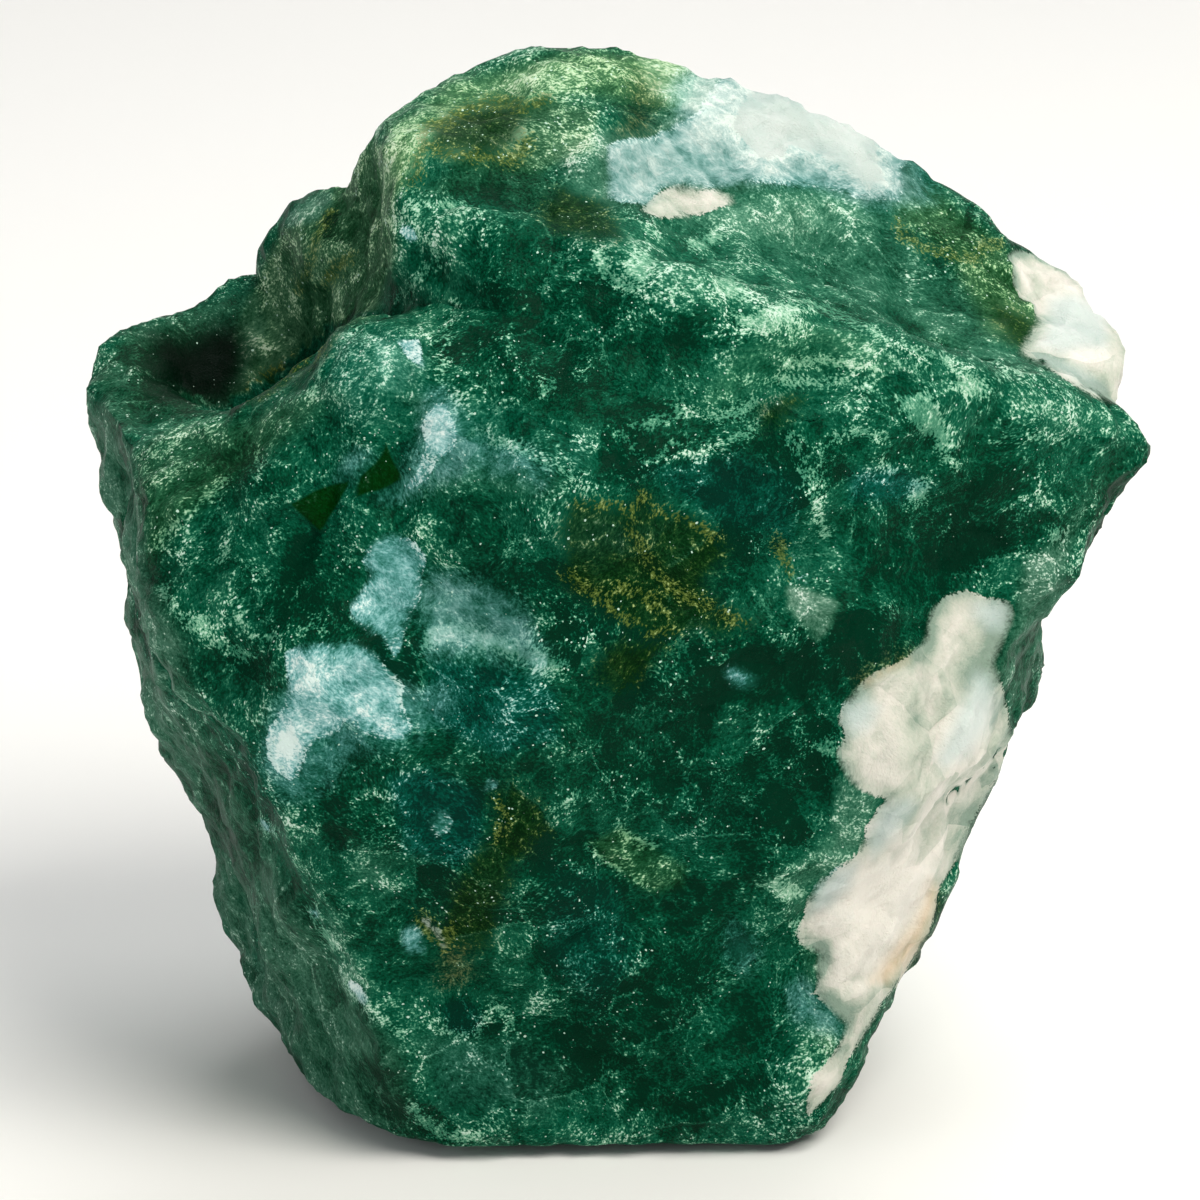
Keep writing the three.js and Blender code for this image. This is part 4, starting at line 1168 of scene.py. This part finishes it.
@dataclass
class MossAgate:
    """The stone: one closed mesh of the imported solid's form, broken fine and marked with its minerals."""

    view: PhotoView
    cuts: int = 2
    smooth_share: float = 0.2
    foot_mm: float = 0.08
    foot_rise_mm: float = 2.5
    facets: tuple[Facets, ...] = (Facets(5.0, 0.07), Facets(2.2, 0.12))
    ledge_spacing_mm: float = 8.0
    ledge_height_mm: float = 0.18
    ledges_per_hill: float = 4.0
    relief_rounds: int = 8
    relief_full_mm: float = 0.08
    warp_mm: float = 0.25
    drift_mm: float = 0.6
    bend_mm: float = 2.4
    wrap_mm: float = 5.0
    deepest_mm: float = 3.0

    def build(self, node: bpy.types.Object) -> bpy.types.Object:
        """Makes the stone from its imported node.

        Args:
            node: the CAD node that it stands for.

        Returns:
            The finished piece.
        """
        stone = bpy.data.objects.new("agate_stone", self.refined_mesh(node))
        bpy.context.scene.collection.objects.link(stone)
        self.break_surface(stone.data)
        self.mark(stone.data)
        stone.data.materials.append(StoneFinish().material())
        stone.data.shade_smooth()
        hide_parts(NODE)
        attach(stone, "root")
        return stone

    def refined_mesh(self, node: bpy.types.Object) -> bpy.types.Mesh:
        """Copies a node's mesh, joins its triangles and cuts them up small.

        Args:
            node: the CAD node to copy.

        Returns:
            The finer mesh.
        """
        shape = bmesh.new()
        shape.from_mesh(node.data)
        bmesh.ops.remove_doubles(shape, verts=shape.verts, dist=0.001 * MM)
        for _ in range(self.cuts):
            bmesh.ops.subdivide_edges(shape, edges=shape.edges, cuts=1, use_grid_fill=True)
            raised = [v for v in shape.verts if v.co.z > self.foot_mm * MM]
            bmesh.ops.smooth_vert(
                shape, verts=raised, factor=self.smooth_share, use_axis_x=True, use_axis_y=True, use_axis_z=True
            )
        mesh = bpy.data.meshes.new("agate_stone")
        shape.to_mesh(mesh)
        shape.free()
        return mesh

    def break_surface(self, mesh: bpy.types.Mesh) -> None:
        """Raises the facets and ledges of the break along each point's own normal."""
        points = self.read(mesh)
        heights = np.array([self.break_height(Vector(point)) for point in points])
        heights *= smoothstep(0.0, self.foot_rise_mm, points[:, 2])
        points += self.normals(mesh) * heights[:, None]
        low, high = (np.array(corner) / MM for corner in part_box(NODE))
        mesh.vertices.foreach_set("co", (np.clip(points, low, high) * MM).ravel())
        mesh.update()

    def break_height(self, point: Vector) -> float:
        """How far the broken surface stands up at a point.

        Args:
            point: a point of the smooth stone, in millimetres.

        Returns:
            The height, in millimetres.
        """
        height = sum(size.height(point) for size in self.facets)
        hill = noise.fractal(point / self.ledge_spacing_mm, 0.9, 2.1, 3) * self.ledges_per_hill
        step = hill - math.floor(hill)
        return height + self.ledge_height_mm * (math.floor(hill) + min(step / 0.25, 1.0))

    def relief(self, mesh: bpy.types.Mesh) -> np.ndarray:
        """Measures how far each point stands out from its surroundings.

        Args:
            mesh: the finished mesh.

        Returns:
            1 on a ridge, 0 on a face and -1 in a crack.
        """
        points = self.read(mesh)
        edges = np.empty(len(mesh.edges) * 2, np.int32)
        mesh.edges.foreach_get("vertices", edges)
        start, end = edges.reshape(-1, 2).T
        count = np.bincount(start, minlength=len(points)) + np.bincount(end, minlength=len(points))
        smooth = points.copy()
        for _ in range(self.relief_rounds):
            total = np.stack(
                [
                    np.bincount(start, smooth[end, axis], len(points))
                    + np.bincount(end, smooth[start, axis], len(points))
                    for axis in range(3)
                ],
                axis=1,
            )
            smooth = total / count[:, None]
        out = np.einsum("ij,ij->i", points - smooth, self.normals(mesh)) / self.relief_full_mm
        return np.clip(out, -1.0, 1.0)

    def mark(self, mesh: bpy.types.Mesh) -> None:
        """Stores on the mesh how deep each point lies in each mineral and in the painted shade of the hollow, and how
        the green stone varies, painted light and shade included.
        """
        points = self.read(mesh)
        places = [Vector(point) for point in points]
        broad = np.array([noise.fractal(place / 10.0, 1.0, 2.0, 2) for place in places])
        cloud = np.array([noise.fractal(place / 3.4 + HALF, 0.8, 2.1, 3) for place in places])
        drift = np.array([noise.noise_vector(place / 4.0) for place in places])
        pixels, depth = self.view.pixels(points)
        behind = self.view.behind(pixels, depth)
        pixels += (drift[:, :2] + cloud[:, None] * 0.5) * self.warp_mm / self.view.mm_per_px
        hidden = smoothstep(self.wrap_mm, 2.0 * self.wrap_mm, behind)
        clean = np.zeros(len(points))
        bent = points + (drift + 0.3 * cloud[:, None]) * self.bend_mm
        for mineral in Mineral:
            deep = self.mineral_depth(mineral, bent, pixels, behind)
            self.write(mesh, mineral.value, deep)
            if mineral is Mineral.CRUSHED:
                crushed = smoothstep(-0.3, 0.6, deep)
            elif mineral in (Mineral.MILK, Mineral.MOSS):
                clean = np.maximum(clean, smoothstep(-0.2, 0.3, deep))
        tone, hue, dullness = self.tints(pixels, behind)
        relief = self.relief(mesh)
        mottle = np.array([noise.fractal(place / 1.6 + HALF, 0.8, 2.0, 2) for place in places])
        # The relief term lightens ridges, as crushed pale edges, and darkens cracks as painted shade.
        tone += 0.12 * cloud + 0.1 * mottle + 0.08 * broad + 0.06 * relief
        self.write(mesh, "tone", tone + 0.12 * crushed)
        self.write(mesh, "hue", hue - 0.6 * broad * (0.4 + 0.6 * hidden))
        self.write(mesh, "dullness", dullness)
        grit = 0.25 + 0.15 * relief + 0.15 * cloud + 0.45 * tone + 0.1 * np.maximum(hue, 0.0) - 0.15 * clean
        self.write(mesh, "grit", grit + 0.2 * crushed - 0.3 * dullness)
        self.write(mesh, "cloud", 0.5 + 0.4 * cloud)
        vectors = mesh.attributes.new("drift", "FLOAT_VECTOR", "POINT")
        vectors.data.foreach_set("vector", (drift * self.drift_mm).astype(np.float32).ravel())

    def mineral_depth(
        self, mineral: Mineral, points: np.ndarray, pixels: np.ndarray, behind: np.ndarray
    ) -> np.ndarray:
        """Finds how deep points lie in one mineral.

        Args:
            mineral: which mineral.
            points: the points, in millimetres, bent about a little as the seams are.
            pixels: where they are in the photograph.
            behind: how far behind the seen surface they are.

        Returns:
            The millimetres below the mineral's edge, or above it as less than 0.
        """
        deep = np.full(len(points), -self.deepest_mm)
        for patch in PATCHES:
            if patch.mineral is mineral:
                corners = np.array(patch.points, float)
                reach = self.deepest_mm / self.view.mm_per_px + patch.width
                near = np.all((pixels > corners.min(0) - reach) & (pixels < corners.max(0) + reach), axis=1)
                found = outline_depth(pixels[near], corners, patch.width == 0.0) + patch.width
                found = np.minimum(found * self.view.mm_per_px, self.wrap_mm - behind[near])
                deep[near] = np.maximum(deep[near], found)
        for seam in SEAMS:
            if seam.mineral is mineral:
                deep = np.maximum(deep, seam.depth(points))
        return np.clip(deep, -self.deepest_mm, self.deepest_mm)

    def tints(self, pixels: np.ndarray, behind: np.ndarray) -> tuple[np.ndarray, np.ndarray, np.ndarray]:
        """Adds up the tints of the green stone.

        Args:
            pixels: where the points are in the photograph.
            behind: how far behind the seen surface they are.

        Returns:
            How light, how warm and how dull each point is.
        """
        tone = np.zeros(len(pixels))
        hue = np.zeros(len(pixels))
        dullness = np.zeros(len(pixels))
        seen = 1.0 - smoothstep(self.wrap_mm, 2.0 * self.wrap_mm, behind)
        for tint in TINTS:
            corners = np.array(tint.points, float)
            near = np.all((pixels > corners.min(0) - tint.soft) & (pixels < corners.max(0) + tint.soft), axis=1)
            share = smoothstep(-tint.soft, tint.soft, outline_depth(pixels[near], corners, True)) * seen[near]
            tone[near] += tint.lighter * share
            hue[near] += tint.warmer * share
            dullness[near] = np.maximum(dullness[near], tint.duller * share)
        return tone, np.clip(hue, -1.0, 1.0), dullness

    @staticmethod
    def read(mesh: bpy.types.Mesh) -> np.ndarray:
        """The mesh's points, in millimetres."""
        points = np.empty(len(mesh.vertices) * 3)
        mesh.vertices.foreach_get("co", points)
        return points.reshape(-1, 3) / MM

    @staticmethod
    def normals(mesh: bpy.types.Mesh) -> np.ndarray:
        """The direction that each point of the mesh faces."""
        normals = np.empty(len(mesh.vertices) * 3)
        mesh.vertex_normals.foreach_get("vector", normals)
        return normals.reshape(-1, 3)

    @staticmethod
    def write(mesh: bpy.types.Mesh, name: str, values: np.ndarray) -> None:
        """Stores one number for each point of the mesh under a name."""
        mesh.attributes.new(name, "FLOAT", "POINT").data.foreach_set("value", values.astype(np.float32))

@dataclass(frozen=True)
class Softbox:
    """A square soft light.

    Attributes:
        name: what it is called.
        place_mm: where its middle is.
        width_mm: how wide it is.
        watts: how strong it is.
        colour: its sRGB hex colour.
    """

    name: str
    place_mm: tuple[float, float, float]
    width_mm: float
    watts: float
    colour: str

    def hang(self, target: Vector) -> None:
        """Hangs the light so that it faces a point.

        Args:
            target: the point, in metres.
        """
        data = bpy.data.lights.new(self.name, "AREA")
        data.size = self.width_mm * MM
        data.energy = self.watts
        data.color = linear(self.colour)[:3]
        lamp = bpy.data.objects.new(self.name, data)
        lamp.location = Vector(self.place_mm) * MM
        lamp.rotation_euler = (target - lamp.location).to_track_quat("-Z", "Y").to_euler()
        bpy.context.scene.collection.objects.link(lamp)


@dataclass
class Studio:
    """A pale floor that curves up into a backdrop, soft lights and the photograph's camera."""

    view: PhotoView
    floor_half_mm: float = 900.0
    floor_behind_mm: float = 320.0
    sweep_radius_mm: float = 260.0
    wall_height_mm: float = 900.0
    room_light: float = 0.26
    softboxes: tuple[Softbox, ...] = (
        Softbox("key", (200.0, -230.0, 400.0), 280.0, 2.3, "#fffaf2"),
        Softbox("fill", (-420.0, -380.0, 160.0), 420.0, 0.6, "#f4f8ff"),
        Softbox("top", (60.0, 200.0, 460.0), 360.0, 1.1, "#ffffff"),
    )

    def build(self) -> None:
        """Sets up the floor, the lights and the camera."""
        self.floor()
        world = bpy.data.worlds.new("studio")
        world.use_nodes = True
        world.node_tree.nodes["Background"].inputs["Color"].default_value = linear("#ffffff")
        world.node_tree.nodes["Background"].inputs["Strength"].default_value = self.room_light
        bpy.context.scene.world = world
        for softbox in self.softboxes:
            softbox.hang(Vector(self.view.target_mm) * MM)
        self.camera()

    def floor(self) -> None:
        """Makes the floor and backdrop: one strip of paper, swept across."""
        shape = bmesh.new()
        half = self.floor_half_mm * MM
        back = self.floor_behind_mm * MM
        front, bend = (shape.verts.new((-half, y, 0.0)) for y in (-half, back))
        shape.edges.new((front, bend))
        spun = bmesh.ops.spin(
            shape,
            geom=[bend],
            cent=(-half, back, self.sweep_radius_mm * MM),
            axis=(1.0, 0.0, 0.0),
            angle=math.radians(90.0),
            steps=24,
            use_merge=False,
        )
        last = next(v for v in spun["geom_last"] if isinstance(v, bmesh.types.BMVert))
        top = shape.verts.new(last.co + Vector((0.0, 0.0, self.wall_height_mm * MM)))
        shape.edges.new((last, top))
        swept = bmesh.ops.extrude_edge_only(shape, edges=shape.edges[:])
        moved = [v for v in swept["geom"] if isinstance(v, bmesh.types.BMVert)]
        bmesh.ops.translate(shape, verts=moved, vec=(2.0 * half, 0.0, 0.0))
        bmesh.ops.recalc_face_normals(shape, faces=shape.faces)
        mesh = bpy.data.meshes.new("studio_floor")
        shape.to_mesh(mesh)
        shape.free()
        mesh.shade_smooth()
        material = bpy.data.materials.new("matt_paper")
        material.use_nodes = True
        tree = material.node_tree
        tree.nodes.clear()
        paper = add_node(tree, "ShaderNodeBsdfDiffuse", {"Color": linear("#f6f6f4")})
        add_node(tree, "ShaderNodeOutputMaterial", {"Surface": paper.outputs["BSDF"]})
        mesh.materials.append(material)
        floor = bpy.data.objects.new("studio_floor", mesh)
        bpy.context.scene.collection.objects.link(floor)

    def camera(self) -> None:
        """Sets up the camera at the photograph's viewing angle."""
        view = self.view
        data = bpy.data.cameras.new("camera")
        data.lens = data.sensor_width * view.distance_mm / (view.mm_per_px * view.side_px)
        camera = bpy.data.objects.new("camera", data)
        camera.location = (Vector(view.target_mm) + view.back() * view.distance_mm) * MM
        camera.rotation_euler = (math.radians(90.0 - view.elevation_deg), 0.0, 0.0)
        bpy.context.scene.collection.objects.link(camera)
        bpy.context.scene.camera = camera
        bpy.context.scene.view_settings.view_transform = "Standard"


def main() -> None:
    """Builds the studio and the stone in order."""
    logging.basicConfig(level=logging.INFO, format="%(message)s")
    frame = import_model()
    view = PhotoView()
    Studio(view).build()
    log.info("studio: floor, lights and camera")
    stone = MossAgate(view).build(frame["nodes"][NODE])
    log.info("%s: %d faces", stone.name, len(stone.data.polygons))


if __name__ == "__main__":
    main()
